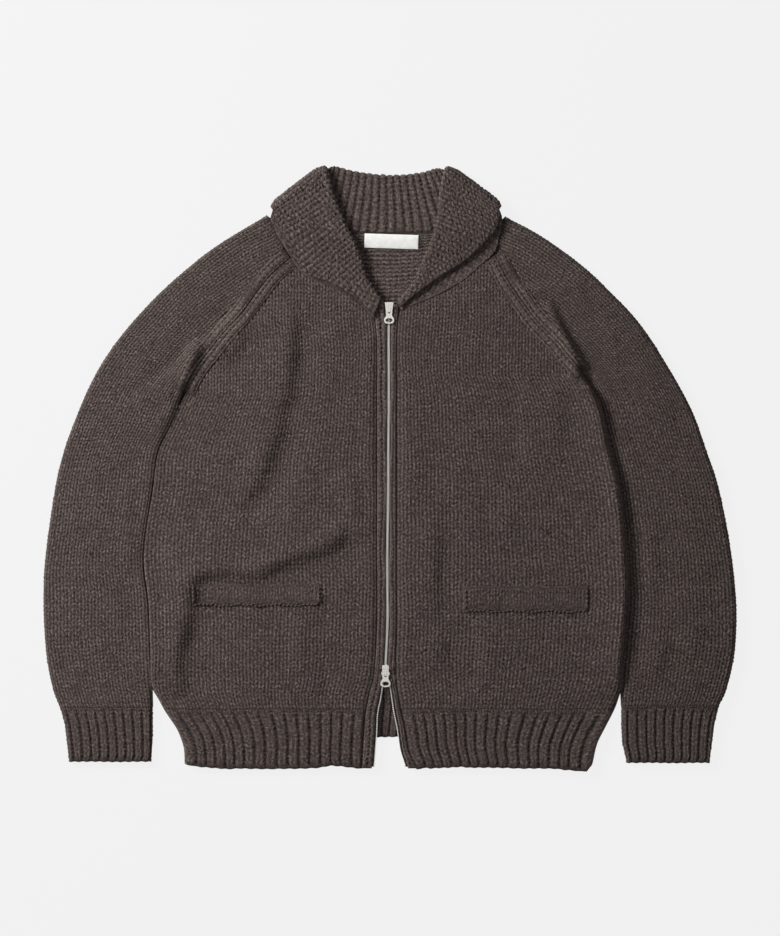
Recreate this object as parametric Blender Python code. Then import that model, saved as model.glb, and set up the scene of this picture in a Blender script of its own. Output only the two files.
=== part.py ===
"""A shawl-collared, zip-fronted cowichan cardigan in bulky brown wool, laid flat on its back.

Metres, +Z up. The back panel and the undersides of the sleeves lie on Z = 0, +Y points to the
collar and +X to the wearer's left arm. The tables below are in millimetres.
"""

import math

import bmesh
import bpy
import numpy as np
from mathutils import Vector
from mathutils.bvhtree import BVHTree

MM = 0.001

# Driving dimensions, in millimetres.
KNIT = 4.6  # thickness of the knitted wall
RIB_DEPTH = 1.3  # how far a rib stands over the groove beside it
SEAM = 0.3  # gap between two pieces at a seam
LAYER_GAP = 0.9  # least space between the upper layer and the lower one
FRONT_TOP = 12.2  # height of the upper layer over the floor
FLOOR_TOP = KNIT  # height of the lower layer's upper face
SIDE_FOOT = FLOOR_TOP + SEAM  # where the front's rolled side stands on the back
LOWEST_TOP = FLOOR_TOP + LAYER_GAP + KNIT
ROLL_GAP = 0.6  # half the space between the collar's stand and its fall
COLLAR_MID = LOWEST_TOP + ROLL_GAP  # height between stand and fall on the fronts
NECK_RISE = 2 * (KNIT + ROLL_GAP) - FLOOR_TOP  # lift over the fall folded under the back neck
NECK_RISE_LENGTH = 30.0
HEM_RIB = 14.5
CUFF_RIB = 11.6
HEM_BOTTOM = -390.5
HEM_SEAM = -313.5
HEM_ROWS = (HEM_SEAM - SEAM / 2, -330, -352, -372, HEM_BOTTOM)
BACK_HEM_HEIGHT = 78.0
BACK_HEM_ARCH = 34.0  # how far the back hem's middle lies above its ends
BACK_HEM_ENDS = -385.0

# The body's side edges from the hem up to the underarm: x, y.
BODY_SIDE = {
    "right": (
        (-266.5, -391), (-268, -365.5), (-274.5, -344.5), (-294, -313.5), (-307, -286),
        (-309.5, -240.5), (-312, -178), (-318.5, -115.5), (-307, -30), (-299, 22),
        (-283.5, 56), (-268, 93.5),
    ),
    "left": (
        (262.5, -391), (271.5, -353.5), (279.5, -338), (294, -308), (301.5, -244.5),
        (305.5, -196.5), (308, -158.5), (304, -89.5), (296.5, -23.5), (284.5, 24.5),
        (269, 87), (251, 119.5),
    ),
}
# Raglan seams of the upper layer and of the lower one, from the underarm to the neck: x, y.
RAGLAN_FRONT = {
    "right": (
        (-268, 93.5), (-260, 113), (-248.5, 132.5), (-232.5, 152), (-212, 177),
        (-191, 200), (-174, 223.5), (-153, 250), (-129.5, 271),
    ),
    "left": (
        (251, 119.5), (242, 131.5), (230, 145.5), (218.5, 160), (204, 175.5),
        (187, 193.5), (169, 218.5), (150.5, 246), (136.5, 275),
    ),
}
RAGLAN_BACK = {
    "right": (
        (-268, 93.5), (-255, 121), (-237, 149.5), (-219, 177), (-199, 203.5),
        (-179, 231), (-159, 258.5), (-138, 285.5), (-118, 312),
    ),
    "left": (
        (251, 119.5), (238, 139), (223, 159), (207, 183.5), (190, 208),
        (172, 233), (153, 259.5), (132.5, 286), (112.5, 312),
    ),
}
# The sleeve's outer fold, one point for each raglan step from the neck to the underarm: x, y.
SLEEVE_HEAD = {
    "right": (
        (-160, 326.5), (-196, 305.5), (-230.5, 283.5), (-264.5, 257), (-297.5, 227.5),
        (-327.5, 196.5), (-353.5, 165), (-374.5, 134), (-391.5, 102.5),
    ),
    "left": (
        (149.5, 325), (187, 305.5), (222, 282.5), (257.5, 255), (288.5, 225),
        (316, 196.5), (339.5, 165), (360, 131.5), (374, 108),
    ),
}
# The sleeve from the underarm to the cuff: inner x, inner y, outer x, outer y.
SLEEVE_ARM = {
    "right": (
        (-284.8, 56, -408, 63.5), (-301.2, 22, -424, 19.5), (-309.2, -30, -435.5, -30),
        (-320.7, -115.5, -447.5, -115.5), (-314.2, -178, -450, -178),
        (-311.7, -240.5, -446.5, -240.5), (-309.2, -286, -438.5, -286),
        (-307.2, HEM_SEAM + 2, -429, HEM_SEAM + 2),
    ),
    "left": (
        (271.2, 87, 394, 69), (286.8, 24.5, 410.5, 23.5), (298.8, -23.5, 426, -23.5),
        (306.3, -89.5, 440, -89.5), (310.3, -158.5, 448.5, -158.5),
        (307.8, -196.5, 450, -200), (303.8, -244.5, 447, -244.5),
        (300.3, -288, 437.5, -288), (299.4, HEM_SEAM + 4, 427.5, HEM_SEAM + 4),
    ),
}
# Cuffs: y below the cuff seam, inner x, outer x.
CUFF = {
    "right": ((0, -307.2, -429), (22, -307, -423), (45, -307.5, -420), (71, -309.5, -417)),
    "left": ((0, 299.4, 427.5), (22, 299.2, 422), (48, 300, 418.5), (74.5, 306, 415)),
}
# Seam between each front and its zip band, from the hem up: x, y.
BAND_SEAM = {
    "right": (
        (-36.5, -391.5), (-34.5, -355), (-31, -314.5), (-26, -290), (-22, -277),
        (-19, -251), (-17.2, -212), (-17, -100), (-17, 87), (-17.2, 165), (-18.8, 188.5),
        (-20.1, 201.5), (-21.8, 220),
    ),
    "left": (
        (35, -391.5), (23.5, -365.5), (18.5, -335), (13.5, -314.5), (10.5, -295),
        (7.5, -274.5), (7, -251), (8.2, -212), (8.5, -100), (8.5, 87), (9, 165),
        (10.2, 188.5), (10.9, 201.5), (10.4, 212),
    ),
}
# Inner edge of each half of the zip chain, from the hem up: x, y.
CHAIN_EDGE = {
    "right": (
        (-19.8, -388), (-16.7, -347), (-14.6, -314.5), (-11.5, -300.5), (-9, -283.5),
        (-7.8, -271), (-7.45, -265), (-6.4, -259.5), (-5.85, -255), (-5.3, -245),
        (-3.65, -212), (-3.65, -121),
        (-2.65, -43), (-2.15, 35), (-1.65, 87), (-1.65, 178), (-1.35, 214),
    ),
    "left": (
        (19.5, -388), (13.2, -368), (9, -340), (3.9, -314), (-0.9, -283.5),
        (-4, -271), (-4.35, -265), (-5.4, -259.5), (-5.55, -255), (-5, -245), (-3.35, -212), (-3.35, -121),
        (-2.35, -43), (-1.85, 35), (-1.35, 87), (-1.35, 178), (-1.05, 214),
    ),
}
# Sections of the collar from the zip to the shoulder. Each runs from the neck seam to the
# roll and back to the outer edge: seam x, y, roll x, y, edge x, y.
COLLAR_FRONT = {
    "right": (
        (-19.5, 191, -23.5, 232.5, -20, 194), (-48, 220.5, -27.5, 245.5, -47, 219.5),
        (-80.5, 237, -36, 271.5, -79, 238.5), (-106.5, 246.5, -45.5, 294, -105, 248),
        (-121, 260, -53.5, 309.5, -119.5, 261.5), (-133, 279.5, -60.5, 326.5, -131, 281),
        (-144.5, 297.5, -67, 342, -140.5, 300.5), (-151, 312, -73, 359, -147.5, 316),
        (-154.5, 322.5, -76.5, 373, -152, 327.5), (-148.8, 333.2, -79.5, 383, -148.8, 333.2),
    ),
    "left": (
        (14, 203.5, 9, 216, 13.5, 207), (47, 217, 21, 229, 34, 224),
        (70, 227.5, 30, 243, 52, 237), (96, 243, 40.5, 266.5, 73, 251),
        (115.5, 260, 49, 284.5, 92.5, 263), (130, 272.5, 56, 304, 109, 276),
        (138, 283.5, 60, 322.5, 125, 292), (141.5, 297.5, 62, 340.5, 136.5, 305.5),
        (144.5, 312, 63.5, 357.5, 141, 318.5), (145, 323.5, 66.5, 372, 142.5, 327.5),
        (138.5, 334.5, 69, 381, 138.5, 334.5),
    ),
}
COLLAR_BACK = (
    (-148.8, 333.2, -79.5, 383, -148.8, 333.2), (-117, 315, -73, 387.5, -118.5, 318.5),
    (-88.5, 307, -63.5, 387.5, -89.5, 309.5), (-52, 303.5, -39, 383.5, -52, 307),
    (-2.5, 303, -2.5, 379.5, -2.5, 305.5), (45.5, 303.5, 32.5, 381.5, 45.5, 307),
    (83, 307, 52, 384, 84.5, 309.5), (110.5, 315, 60.5, 384.5, 112, 318.5),
    (138.5, 334.5, 69, 381, 138.5, 334.5),
)
RAGLAN_STEPS = (0, 1, 2, 3, 4, 4.5, 5, 5.5, 6, 6.5, 7, 7.33, 7.67, 8)  # rows along the raglan
RAGLAN_AT_NECK = {"right": 4.55, "left": 5.35}  # place of the raglan seam along those sections
COLLAR_RIBS = {"right": 17, "back": 16, "left": 19, "shoulder": 3}
# Folds of the upper layer: half-width, rise, and the line that each one follows.
FOLDS = (
    (17, -2.4, ((-117, 210), (-126, 155), (-135, 105), (-146, 65), (-158, 0), (-190, -50))),
    (26, 2.6, ((-165, 175), (-172, 110), (-185, 50))),
    (24, 2.0, ((-80, 170), (-92, 90), (-105, 10), (-125, -60))),
    (17, -2.2, ((-64, -80), (-90, -105), (-143, -120), (-210, -138), (-250, -140))),
    (16, -2.2, ((-262, -170), (-270, -235), (-276, -300))),
    (26, 2.6, ((-120, -60), (-200, -85), (-270, -100), (-292, -180), (-296, -260))),
    (22, 1.8, ((-110, -150), (-190, -185), (-235, -230))),
    (16, -2.0, ((58, -60), (58, -140), (60, -200))),
    (26, 1.8, ((95, -20), (98, -120), (110, -200))),
    (26, 1.6, ((30, 60), (32, -60), (30, -180))),
    (30, 2.4, ((285, -30), (286, -120), (283, -220))),
    (12, -2.2, ((-256, 162), (-264, 128), (-280, 92))),
    (12, -2.2, ((218, 204), (231, 183), (247, 145), (262, 112))),
    (24, 2.2, ((-225, 215), (-300, 150), (-350, 60))),
    (24, 2.2, ((250, 215), (310, 140), (350, 50))),
    (28, 1.8, ((-372, 0), (-385, -110), (-375, -220))),
    (28, 1.8, ((385, -20), (392, -120), (372, -230))),
)
# Pocket welts: x of the outer end, x of the inner end, top y, bottom y.
WELT = {"right": (-256, -91, -152, -178), "left": (256, 96, -154.5, -186)}
WELT_THICK = 2.4
LABEL = (2.0, 292.4, 70.0, 18.0, -1.8)  # centre x, y, width, height, turn in degrees

# The zip, in heights over the floor.
TAPE = (7.2, 8.0)
CHAIN = (6.2, 9.0)
BAND = (8.3, 11.8)
CHAIN_WIDTH = 2.2
TAPE_WIDTH = 7.0
BAND_CLEAR = 2.9  # from the chain's inner edge to the band
SLIDER_CLEAR = 6.3  # the same beside a slider
SLIDER_PLATES = ((4.9, 5.9), (9.3, 10.7))
SLIDER_LENGTH, SLIDER_WIDTH, SLIDER_TAIL = 12.5, 11.2, 8.2
BRIDGE_LENGTH, BRIDGE_WIDTH, BRIDGE_UNDER, BRIDGE_TOP = 10.4, 2.4, 14.0, 15.4
HINGE_HEIGHT = 12.7
PULL_THICK = 1.2
HINGE = {"top": (-1.2, 208.0), "bottom": (-5.9, -262.4)}  # x, y of each pull's hinge
SLIDER_TURN = {"top": 1, "bottom": -1}  # the lower slider faces the hem

BROWN = (0.075, 0.058, 0.053, 1)
STEEL = (0.72, 0.70, 0.67, 1)
WHITE = (0.86, 0.86, 0.84, 1)


def along(points):
    """The smooth curve through the points, as a function of the point number."""
    points = np.array(points, float)
    slopes = np.gradient(points, axis=0)

    def at(place):
        place = np.clip(np.asarray(place, float), 0, len(points) - 1)
        k = np.minimum(place.astype(int), len(points) - 2)
        t = (place - k)[..., None]
        return (
            (2 * t**3 - 3 * t**2 + 1) * points[k]
            + (t**3 - 2 * t**2 + t) * slopes[k]
            + (3 * t**2 - 2 * t**3) * points[k + 1]
            + (t**3 - t**2) * slopes[k + 1]
        )

    return at


def x_at(points):
    """x as a function of y along an edge whose y rises."""
    x, y = np.array(points, float).T
    slope = np.gradient(x, y)

    def at(height):
        height = np.clip(np.asarray(height, float), y[0], y[-1])
        k = np.clip(np.searchsorted(y, height, side="right") - 1, 0, len(y) - 2)
        h = y[k + 1] - y[k]
        t = (height - y[k]) / h
        return (
            (2 * t**3 - 3 * t**2 + 1) * x[k]
            + (t**3 - 2 * t**2 + t) * h * slope[k]
            + (3 * t**2 - 2 * t**3) * x[k + 1]
            + (t**3 - t**2) * h * slope[k + 1]
        )

    return at


def smoothstep(t):
    t = np.clip(t, 0, 1)
    return t * t * (3 - 2 * t)


def distance_to(line, x, y):
    """Distance in plan from each point to a line of straight pieces."""
    start, end = np.array(line[:-1], float), np.array(line[1:], float)
    run = end - start
    place = np.stack([np.asarray(x, float), np.asarray(y, float)], -1)[..., None, :]
    t = np.clip(((place - start) * run).sum(-1) / (run**2).sum(-1), 0, 1)
    return np.linalg.norm(place - (start + t[..., None] * run), axis=-1).min(-1)


BACK_NECK = np.array(COLLAR_BACK)[:, :2]
RISE_LINE = np.array([(-162, 336), *BACK_NECK, (152, 337)])
SIDE_X = {side: x_at(points) for side, points in BODY_SIDE.items()}
BAND_X = {side: x_at(points) for side, points in BAND_SEAM.items()}
CHAIN_X = {side: x_at(points) for side, points in CHAIN_EDGE.items()}
NECK_SEAM = {side: along(np.array(rows)[:, :2]) for side, rows in COLLAR_FRONT.items()}
FOLD_LINES = [(width, rise, along(line)(np.linspace(0, len(line) - 1, 12)))
              for width, rise, line in FOLDS]
NECK_LINES = {side: curve(np.linspace(0, len(COLLAR_FRONT[side]) - 1, 40))
              for side, curve in NECK_SEAM.items()}


def neck_rise(x, y, length=NECK_RISE_LENGTH):
    """How far the lower layer is lifted by the fall that is folded under the back neck."""
    near = smoothstep(1 - distance_to(RISE_LINE, x, y) / length)
    above = np.asarray(y) > np.interp(x, BACK_NECK[:, 0], BACK_NECK[:, 1], 1e3, 1e3)
    return NECK_RISE * np.where(above, 1.0, near)


def top_height(x, y):
    """Height of the upper layer's outer face: fronts and the sleeves' upper halves."""
    height = np.full(np.shape(x), FRONT_TOP)
    for width, rise, line in FOLD_LINES:
        height = height + rise * np.exp(-((distance_to(line, x, y) / width) ** 2))
    rise = neck_rise(x, y)
    to_neck = np.minimum(*(distance_to(line, x, y) for line in NECK_LINES.values()))
    at_neck = np.exp(-((to_neck / 18) ** 2))
    height = height * (1 - at_neck) + (COLLAR_MID - ROLL_GAP + rise) * at_neck
    return np.maximum(height, LOWEST_TOP + rise)


def zip_rows(faces, first, second):
    """Triangles between two rows of points that may hold different numbers of them."""
    i = j = 0
    while i < len(first) - 1 or j < len(second) - 1:
        if (i + 1) * (len(second) - 1) <= (j + 1) * (len(first) - 1):
            faces.append((first[i], first[i + 1], second[j]))
            i += 1
        else:
            faces.append((first[i], second[j + 1], second[j]))
            j += 1


def grid_faces(faces, grid, wrap):
    rows, columns = grid.shape
    for i in range(rows - 1):
        for j in range(columns if wrap else columns - 1):
            k = (j + 1) % columns
            faces.append((grid[i, j], grid[i, k], grid[i + 1, k], grid[i + 1, j]))


def material_of(name, colour, metallic=0.0, roughness=0.9):
    material = bpy.data.materials.get(name)
    if material is None:
        material = bpy.data.materials.new(name)
        material.use_nodes = True
        shader = material.node_tree.nodes["Principled BSDF"]
        shader.inputs["Base Color"].default_value = colour
        shader.inputs["Metallic"].default_value = metallic
        shader.inputs["Roughness"].default_value = roughness
    return material


def add_object(name, mesh, material):
    mesh.materials.clear()
    mesh.materials.append(material)
    piece = bpy.data.objects.new(name, mesh)
    bpy.context.scene.collection.objects.link(piece)
    return piece


def closed_mesh(name, points, faces):
    """One closed body facing out, from points in millimetres."""
    mesh = bpy.data.meshes.new(name)
    mesh.from_pydata([tuple(p) for p in np.asarray(points) * MM], [], faces)
    form = bmesh.new()
    form.from_mesh(mesh)
    bmesh.ops.recalc_face_normals(form, faces=form.faces)
    form.to_mesh(mesh)
    form.free()
    mesh.shade_smooth()
    mesh.set_sharp_from_angle(angle=math.radians(40))
    return mesh


def wall(name, outer, inner, material, wrap=False):
    """A cloth wall between two grids of points with the same number of rows."""
    outer, inner = np.asarray(outer, float), np.asarray(inner, float)
    a = np.arange(outer[..., 0].size).reshape(outer.shape[:2])
    b = np.arange(inner[..., 0].size).reshape(inner.shape[:2]) + a.size
    faces = []
    grid_faces(faces, a, wrap)
    grid_faces(faces, b, wrap)
    for row in (0, -1):
        ends = ([*a[row], a[row, 0]], [*b[row], b[row, 0]]) if wrap else (a[row], b[row])
        zip_rows(faces, *ends)
    if not wrap:
        for column in (0, -1):
            zip_rows(faces, a[:, column], b[:, column])
    points = np.concatenate([outer.reshape(-1, 3), inner.reshape(-1, 3)])
    return add_object(name, closed_mesh(name, points, faces), material)


def bar(name, rings, material):
    """A solid through closed rings of points, capped at both ends."""
    rings = np.asarray(rings, float)
    grid = np.arange(rings[..., 0].size).reshape(rings.shape[:2])
    faces = []
    grid_faces(faces, grid, True)
    faces += [tuple(grid[0]), tuple(grid[-1])]
    return add_object(name, closed_mesh(name, rings.reshape(-1, 3), faces), material)


def seam_beside(curve, places, gap):
    """Points beside a seam curve, moved by the gap to its left."""
    points = curve(places)
    run = curve(np.add(places, 0.05)) - curve(np.subtract(places, 0.05))
    across = np.stack([-run[..., 1], run[..., 0]], -1)
    return points + gap * across / np.linalg.norm(across, axis=-1, keepdims=True)


def rolled_edge(edge, inward, top, foot, roll, steps=3):
    """The last points of a layer whose edge rolls down to its foot, and their outward normals.

    roll is 1 where the edge turns right down and 0 where the layer ends flat, at a seam.
    """
    angles = np.linspace(0, math.pi / 2, steps + 1)
    radius = top - foot
    evenly = 1 - angles / (math.pi / 2)
    back = radius * (roll * (1 - np.sin(angles)) + (1 - roll) * evenly)
    points = np.empty((steps + 1, 3))
    points[:, :2] = edge + np.outer(back, inward)
    points[:, 2] = top - roll * radius * (1 - np.cos(angles))
    normals = np.empty((steps + 1, 3))
    normals[:, :2] = -np.outer(roll * np.sin(angles), inward)
    normals[:, 2] = 1 - roll + roll * np.cos(angles)
    return points, normals / np.linalg.norm(normals, axis=1, keepdims=True)


def front_row(side_edge, zip_edge, roll, columns):
    """Points and normals across a front from its zip side to its side edge."""
    side_edge, zip_edge = np.array(side_edge, float), np.array(zip_edge, float)
    run = zip_edge - side_edge
    length = np.linalg.norm(run)
    inward = run / length
    top = float(top_height(side_edge[0] + 7 * inward[0], side_edge[1] + 7 * inward[1]))
    foot = max(SIDE_FOOT, top - length / 3)
    edge, edge_normals = rolled_edge(side_edge, inward, top, foot, roll)
    start = side_edge + inward * (top - foot)
    share = np.linspace(0, 1, columns)[:-1, None]
    flat = zip_edge + share * (start - zip_edge)
    if roll < 1:
        edge[:, 2] += (1 - roll) * (top_height(edge[:, 0], edge[:, 1]) - edge[:, 2])
    else:
        edge[0, 2] = top
    points = np.concatenate([np.column_stack([flat, top_height(*flat.T)]), edge])
    normals = np.concatenate([np.tile([0, 0, 1.0], (columns - 1, 1)), edge_normals])
    return points, normals


def zip_side_rows(side):
    """Heights on the page of the front's rows along its band, the last four beside the raglan."""
    underarm, v_point = RAGLAN_FRONT[side][0][1], NECK_SEAM[side](0)[1] - 1
    below = np.linspace(HEM_SEAM + SEAM / 2, underarm, 18)[:-1]
    return [*below, *np.linspace(underarm, v_point, 5)[:-1]]


def front_panel(side):
    """A front from the hem seam to the neck, between the zip band and the side or raglan seam."""
    sign = -1 if side == "right" else 1
    raglan, neck = along(RAGLAN_FRONT[side]), NECK_SEAM[side]
    heights = zip_side_rows(side)
    rows = []
    for y in heights[:-4]:
        rows.append(((SIDE_X[side](y), y), (BAND_X[side](y) + sign * SEAM / 2, y), 1.0))
    for k in RAGLAN_STEPS:
        # The raglan's left is the sleeve's side on the wearer's right.
        beside = seam_beside(raglan, k, sign * SEAM / 2)
        if k < 4:
            y = heights[k - 4]
            inner = (BAND_X[side](y) + sign * SEAM / 2, y)
        else:
            inner = seam_beside(neck, RAGLAN_AT_NECK[side] * (k - 4) / 4.03, -sign * 2 * SEAM)
        rows.append((beside, inner, max(0.0, 1 - k / 2)))
    made = [front_row(*row, columns=14) for row in rows]
    outer = np.array([points for points, _ in made])
    normals = np.array([normal for _, normal in made])
    inner = outer - KNIT * normals
    kept = [*range(0, 13, 2), 13, 14, 16]
    return wall(f"front_{side}", outer, inner[:, kept], material_of("Brown wool knit", BROWN))


def back_panel():
    """The back from its arched hem seam to the back neck."""
    columns = np.linspace(0, 1, 13)
    arch = BACK_HEM_ARCH * (1 - (2 * columns - 1) ** 2)
    ends = {side: np.linspace(BACK_HEM_ENDS + BACK_HEM_HEIGHT, RAGLAN_BACK[side][0][1], 10)[:-1]
            for side in ("right", "left")}
    rows = []
    for k, (right_y, left_y) in enumerate(zip(ends["right"], ends["left"])):
        right_x, left_x = SIDE_X["right"](right_y) + 1, SIDE_X["left"](left_y) - 1
        x = right_x + (left_x - right_x) * columns
        y = right_y + (left_y - right_y) * columns + arch * (1 - k / 9) ** 2 + SEAM / 2
        rows.append(np.column_stack([x, y]))
    neck = along(BACK_NECK)(np.linspace(1, 7, 13)) - (0, 2 * SEAM)
    for k in RAGLAN_STEPS:
        right = seam_beside(along(RAGLAN_BACK["right"]), k, -SEAM / 2)
        left = seam_beside(along(RAGLAN_BACK["left"]), k, SEAM / 2)
        if k <= 7:
            rows.append(right + np.outer(columns, left - right))
            last = rows[-1]
        else:
            rows.append(last + (k - 7) * (neck - last))
            rows[-1][[0, -1]] = right, left
    plan = np.array(rows)
    rise = neck_rise(plan[..., 0], plan[..., 1])[..., None]
    lower = np.concatenate([plan, rise], -1)
    upper = np.concatenate([plan, rise + KNIT], -1)
    return wall("back", lower, upper, material_of("Brown wool knit", BROWN))


def sleeve_row(inner_top, outer, inner_low, roll, top_points=7, low_points=5):
    """One turn round a flattened sleeve, from its upper inner edge over the fold to the lower."""
    inner_top, outer, inner_low = (np.array(p, float) for p in (inner_top, outer, inner_low))
    to_fold = (outer - inner_top) / np.linalg.norm(outer - inner_top)
    from_fold = (inner_low - outer) / np.linalg.norm(inner_low - outer)
    across = (to_fold - from_fold) / np.linalg.norm(to_fold - from_fold)
    floor = float(neck_rise(*(outer + 10 * from_fold)))
    top_in = float(top_height(*(inner_top + 7 * to_fold)))
    top_out = max(float(top_height(*(outer - 7 * across))), floor + LOWEST_TOP)
    middle_in, middle_out = top_in / 2, (top_out + floor) / 2
    edge, edge_normals = rolled_edge(inner_top, to_fold, top_in, middle_in + SEAM / 2, roll)
    if roll < 1:
        edge[:, 2] += (1 - roll) * (top_height(edge[:, 0], edge[:, 1]) - edge[:, 2])
    radius = middle_out - floor
    start = inner_top + to_fold * (top_in - middle_in)
    end = outer - across * radius
    flat = start + np.linspace(0, 1, top_points)[1:-1, None] * (end - start)
    flat = np.column_stack([flat, top_height(*flat.T)])
    angles = np.linspace(0, math.pi, 7)
    fold = np.column_stack([end + np.outer(radius * np.sin(angles), across),
                            middle_out + radius * np.cos(angles)])
    fold_normals = np.column_stack([np.outer(np.sin(angles), across), np.cos(angles)])
    low_start = end
    low_edge, low_normals = rolled_edge(inner_low, -from_fold, middle_in - SEAM / 2, 0.0, roll)
    low_edge[:, 2] = middle_in - SEAM / 2 - low_edge[:, 2]
    low_normals[:, 2] *= -1
    low_end = inner_low - from_fold * (middle_in - SEAM / 2)
    low = low_start + np.linspace(0, 1, low_points)[1:-1, None] * (low_end - low_start)
    low = np.column_stack([low, neck_rise(*low.T)])
    low_edge[:, 2] += neck_rise(low_edge[:, 0], low_edge[:, 1]) * (1 - roll)
    up, down = np.array([0, 0, 1.0]), np.array([0, 0, -1.0])
    points = np.concatenate([edge[::-1], flat, fold, low, low_edge])
    normals = np.concatenate([edge_normals[::-1], np.tile(up, (len(flat), 1)), fold_normals,
                              np.tile(down, (len(low), 1)), low_normals])
    return points, normals


def sleeve(side):
    """A raglan sleeve: open sheet over the shoulder, then a flattened tube with its seam inside."""
    sign = -1 if side == "right" else 1
    front, back = along(RAGLAN_FRONT[side]), along(RAGLAN_BACK[side])
    head = along(SLEEVE_HEAD[side])
    made = []
    for k in RAGLAN_STEPS[::-1]:
        made.append(sleeve_row(
            seam_beside(front, k, -sign * SEAM / 2),
            head(8 - k),
            seam_beside(back, k, -sign * SEAM / 2),
            max(0.0, 1 - k / 2),
        ))
    for inner_x, inner_y, outer_x, outer_y in SLEEVE_ARM[side]:
        made.append(sleeve_row((inner_x, inner_y), (outer_x, outer_y), (inner_x, inner_y), 1.0))
    outer = np.array([points for points, _ in made])
    normals = np.array([normal for _, normal in made])
    bow = neck_bow(side, outer[0])
    for row, k in zip(outer, RAGLAN_STEPS[:6:-1]):
        row[:, :2] += max(0, k - 7) * bow
        row[:9, 2] = top_height(*row[:9, :2].T)
    inner = outer - KNIT * normals
    kept = [0, 1, 3, 5, 7, 9, 10, 11, 12, 13, 14, 15, 17, 19, 20, 22]
    wall(f"sleeve_{side}", outer, inner[:, kept], material_of("Brown wool knit", BROWN))


def neck_bow(side, row):
    """How far the sleeve's end moves in plan to lie beside the collar seam on its upper half."""
    sign = -1 if side == "right" else 1
    last = len(COLLAR_FRONT[side]) - 2
    upper = 9
    start, end = row[0, :2], row[upper, :2]
    run = end - start
    share = np.clip((row[: upper + 1, :2] - start) @ run / (run @ run), 0, 1)
    places = RAGLAN_AT_NECK[side] + share * (last + 0.25 - RAGLAN_AT_NECK[side])
    seam = seam_beside(NECK_SEAM[side], places, -sign * SEAM * (2.5 + 4 * share[:, None]))
    straight = start + share[:, None] * run
    taper = np.clip(5 * np.minimum(share, 1 - share), 0, 1)
    bow = np.zeros((len(row), 2))
    bow[: upper + 1] = (seam - straight) * taper[:, None]
    return bow


def ribbed(count, start=0.0, end=1.0):
    """Places across a ribbed strip and the share of the rib's depth at each."""
    places = np.linspace(start, end, 2 * count + 1)
    return places, (np.arange(2 * count + 1) % 2).astype(float)


def front_hem(side):
    """The ribbed hem of a front, from the side fold to the zip band."""
    sign = -1 if side == "right" else 1
    count = round(abs(BODY_SIDE[side][0][0] - BAND_SEAM[side][0][0]) / HEM_RIB)
    places, ridge = ribbed(count)
    outer, inner = [], []
    for y in HEM_ROWS:
        side_edge = (float(SIDE_X[side](y)), y)
        zip_edge = (float(BAND_X[side](y)) + sign * SEAM / 2, y)
        points, normals = front_row(side_edge, zip_edge, 1.0, columns=9)
        base = points - KNIT * normals
        inner.append(base)
        start, end = np.array(zip_edge), points[8, :2]
        flat = start + places[:, None] * (end - start)
        flat = np.column_stack([flat, top_height(*flat.T)])
        flat[:, 2] -= RIB_DEPTH * (1 - ridge)
        outer.append(np.concatenate([flat, points[9:]]))
    wall(f"hem_front_{side}", outer, inner, material_of("Brown wool rib", BROWN))


def back_hem():
    """The ribbed back hem, arched so that its middle lies above the fronts' hems."""
    count = round((BODY_SIDE["left"][0][0] - BODY_SIDE["right"][0][0]) / HEM_RIB)
    places, ridge = ribbed(count)
    upper, lower = [], []
    for share in np.linspace(0, 1, 4):
        y_ends = BACK_HEM_ENDS + BACK_HEM_HEIGHT * (1 - share) - SEAM / 2 * (1 - share)
        right, left = SIDE_X["right"](y_ends) + 1, SIDE_X["left"](y_ends) - 1
        for grid, places_here, height in (
            (upper, places, KNIT - RIB_DEPTH * (1 - ridge)),
            (lower, places[::2], np.zeros(count + 1)),
        ):
            x = right + (left - right) * places_here
            y = y_ends + BACK_HEM_ARCH * (1 - (2 * places_here - 1) ** 2)
            grid.append(np.column_stack([x, y, height]))
    wall("hem_back", upper, lower, material_of("Brown wool rib", BROWN))


def cuff(side):
    """A ribbed tube laid flat: ribs above and round its folds, plain where it rests."""
    seam_y = SLEEVE_ARM[side][-1][1] - SEAM
    count = round((abs(CUFF[side][1][2] - CUFF[side][1][1]) - FRONT_TOP) / CUFF_RIB)
    places, ridge = ribbed(count)
    outer, inner = [], []
    for drop, inner_x, outer_x in CUFF[side]:
        y = seam_y - drop
        height = FRONT_TOP - 0.012 * drop
        radius = height / 2
        left, right = sorted((inner_x, outer_x))
        top_x = left + radius + places * (right - left - 2 * radius)
        angles = np.radians([30, 60, 90, 120, 150])
        sides = np.column_stack([np.sin(angles), np.cos(angles)])
        low_x = np.linspace(right - radius, left + radius, 6)
        ring = [(x, height - RIB_DEPTH * (1 - r)) for x, r in zip(top_x, ridge)]
        ring += [(right - radius + radius * s, radius + radius * c) for s, c in sides]
        ring += [(x, 0.0) for x in low_x]
        ring += [(left + radius - radius * s, radius + radius * c) for s, c in sides[::-1]]
        outer.append([(x, y, z) for x, z in ring])
        core = radius - KNIT
        hole = [(x, height - KNIT) for x in np.linspace(left + radius, right - radius, 8)]
        hole += [(right - radius + core * s, radius + core * c) for s, c in sides[[0, 2, 4]]]
        hole += [(x, KNIT) for x in np.linspace(right - radius, left + radius, 8)]
        hole += [(left + radius - core * s, radius + core * c) for s, c in sides[[4, 2, 0]]]
        inner.append([(x, y, z) for x, z in hole])
    wall(f"cuff_{side}", outer, inner, material_of("Brown wool rib", BROWN), wrap=True)


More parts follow.
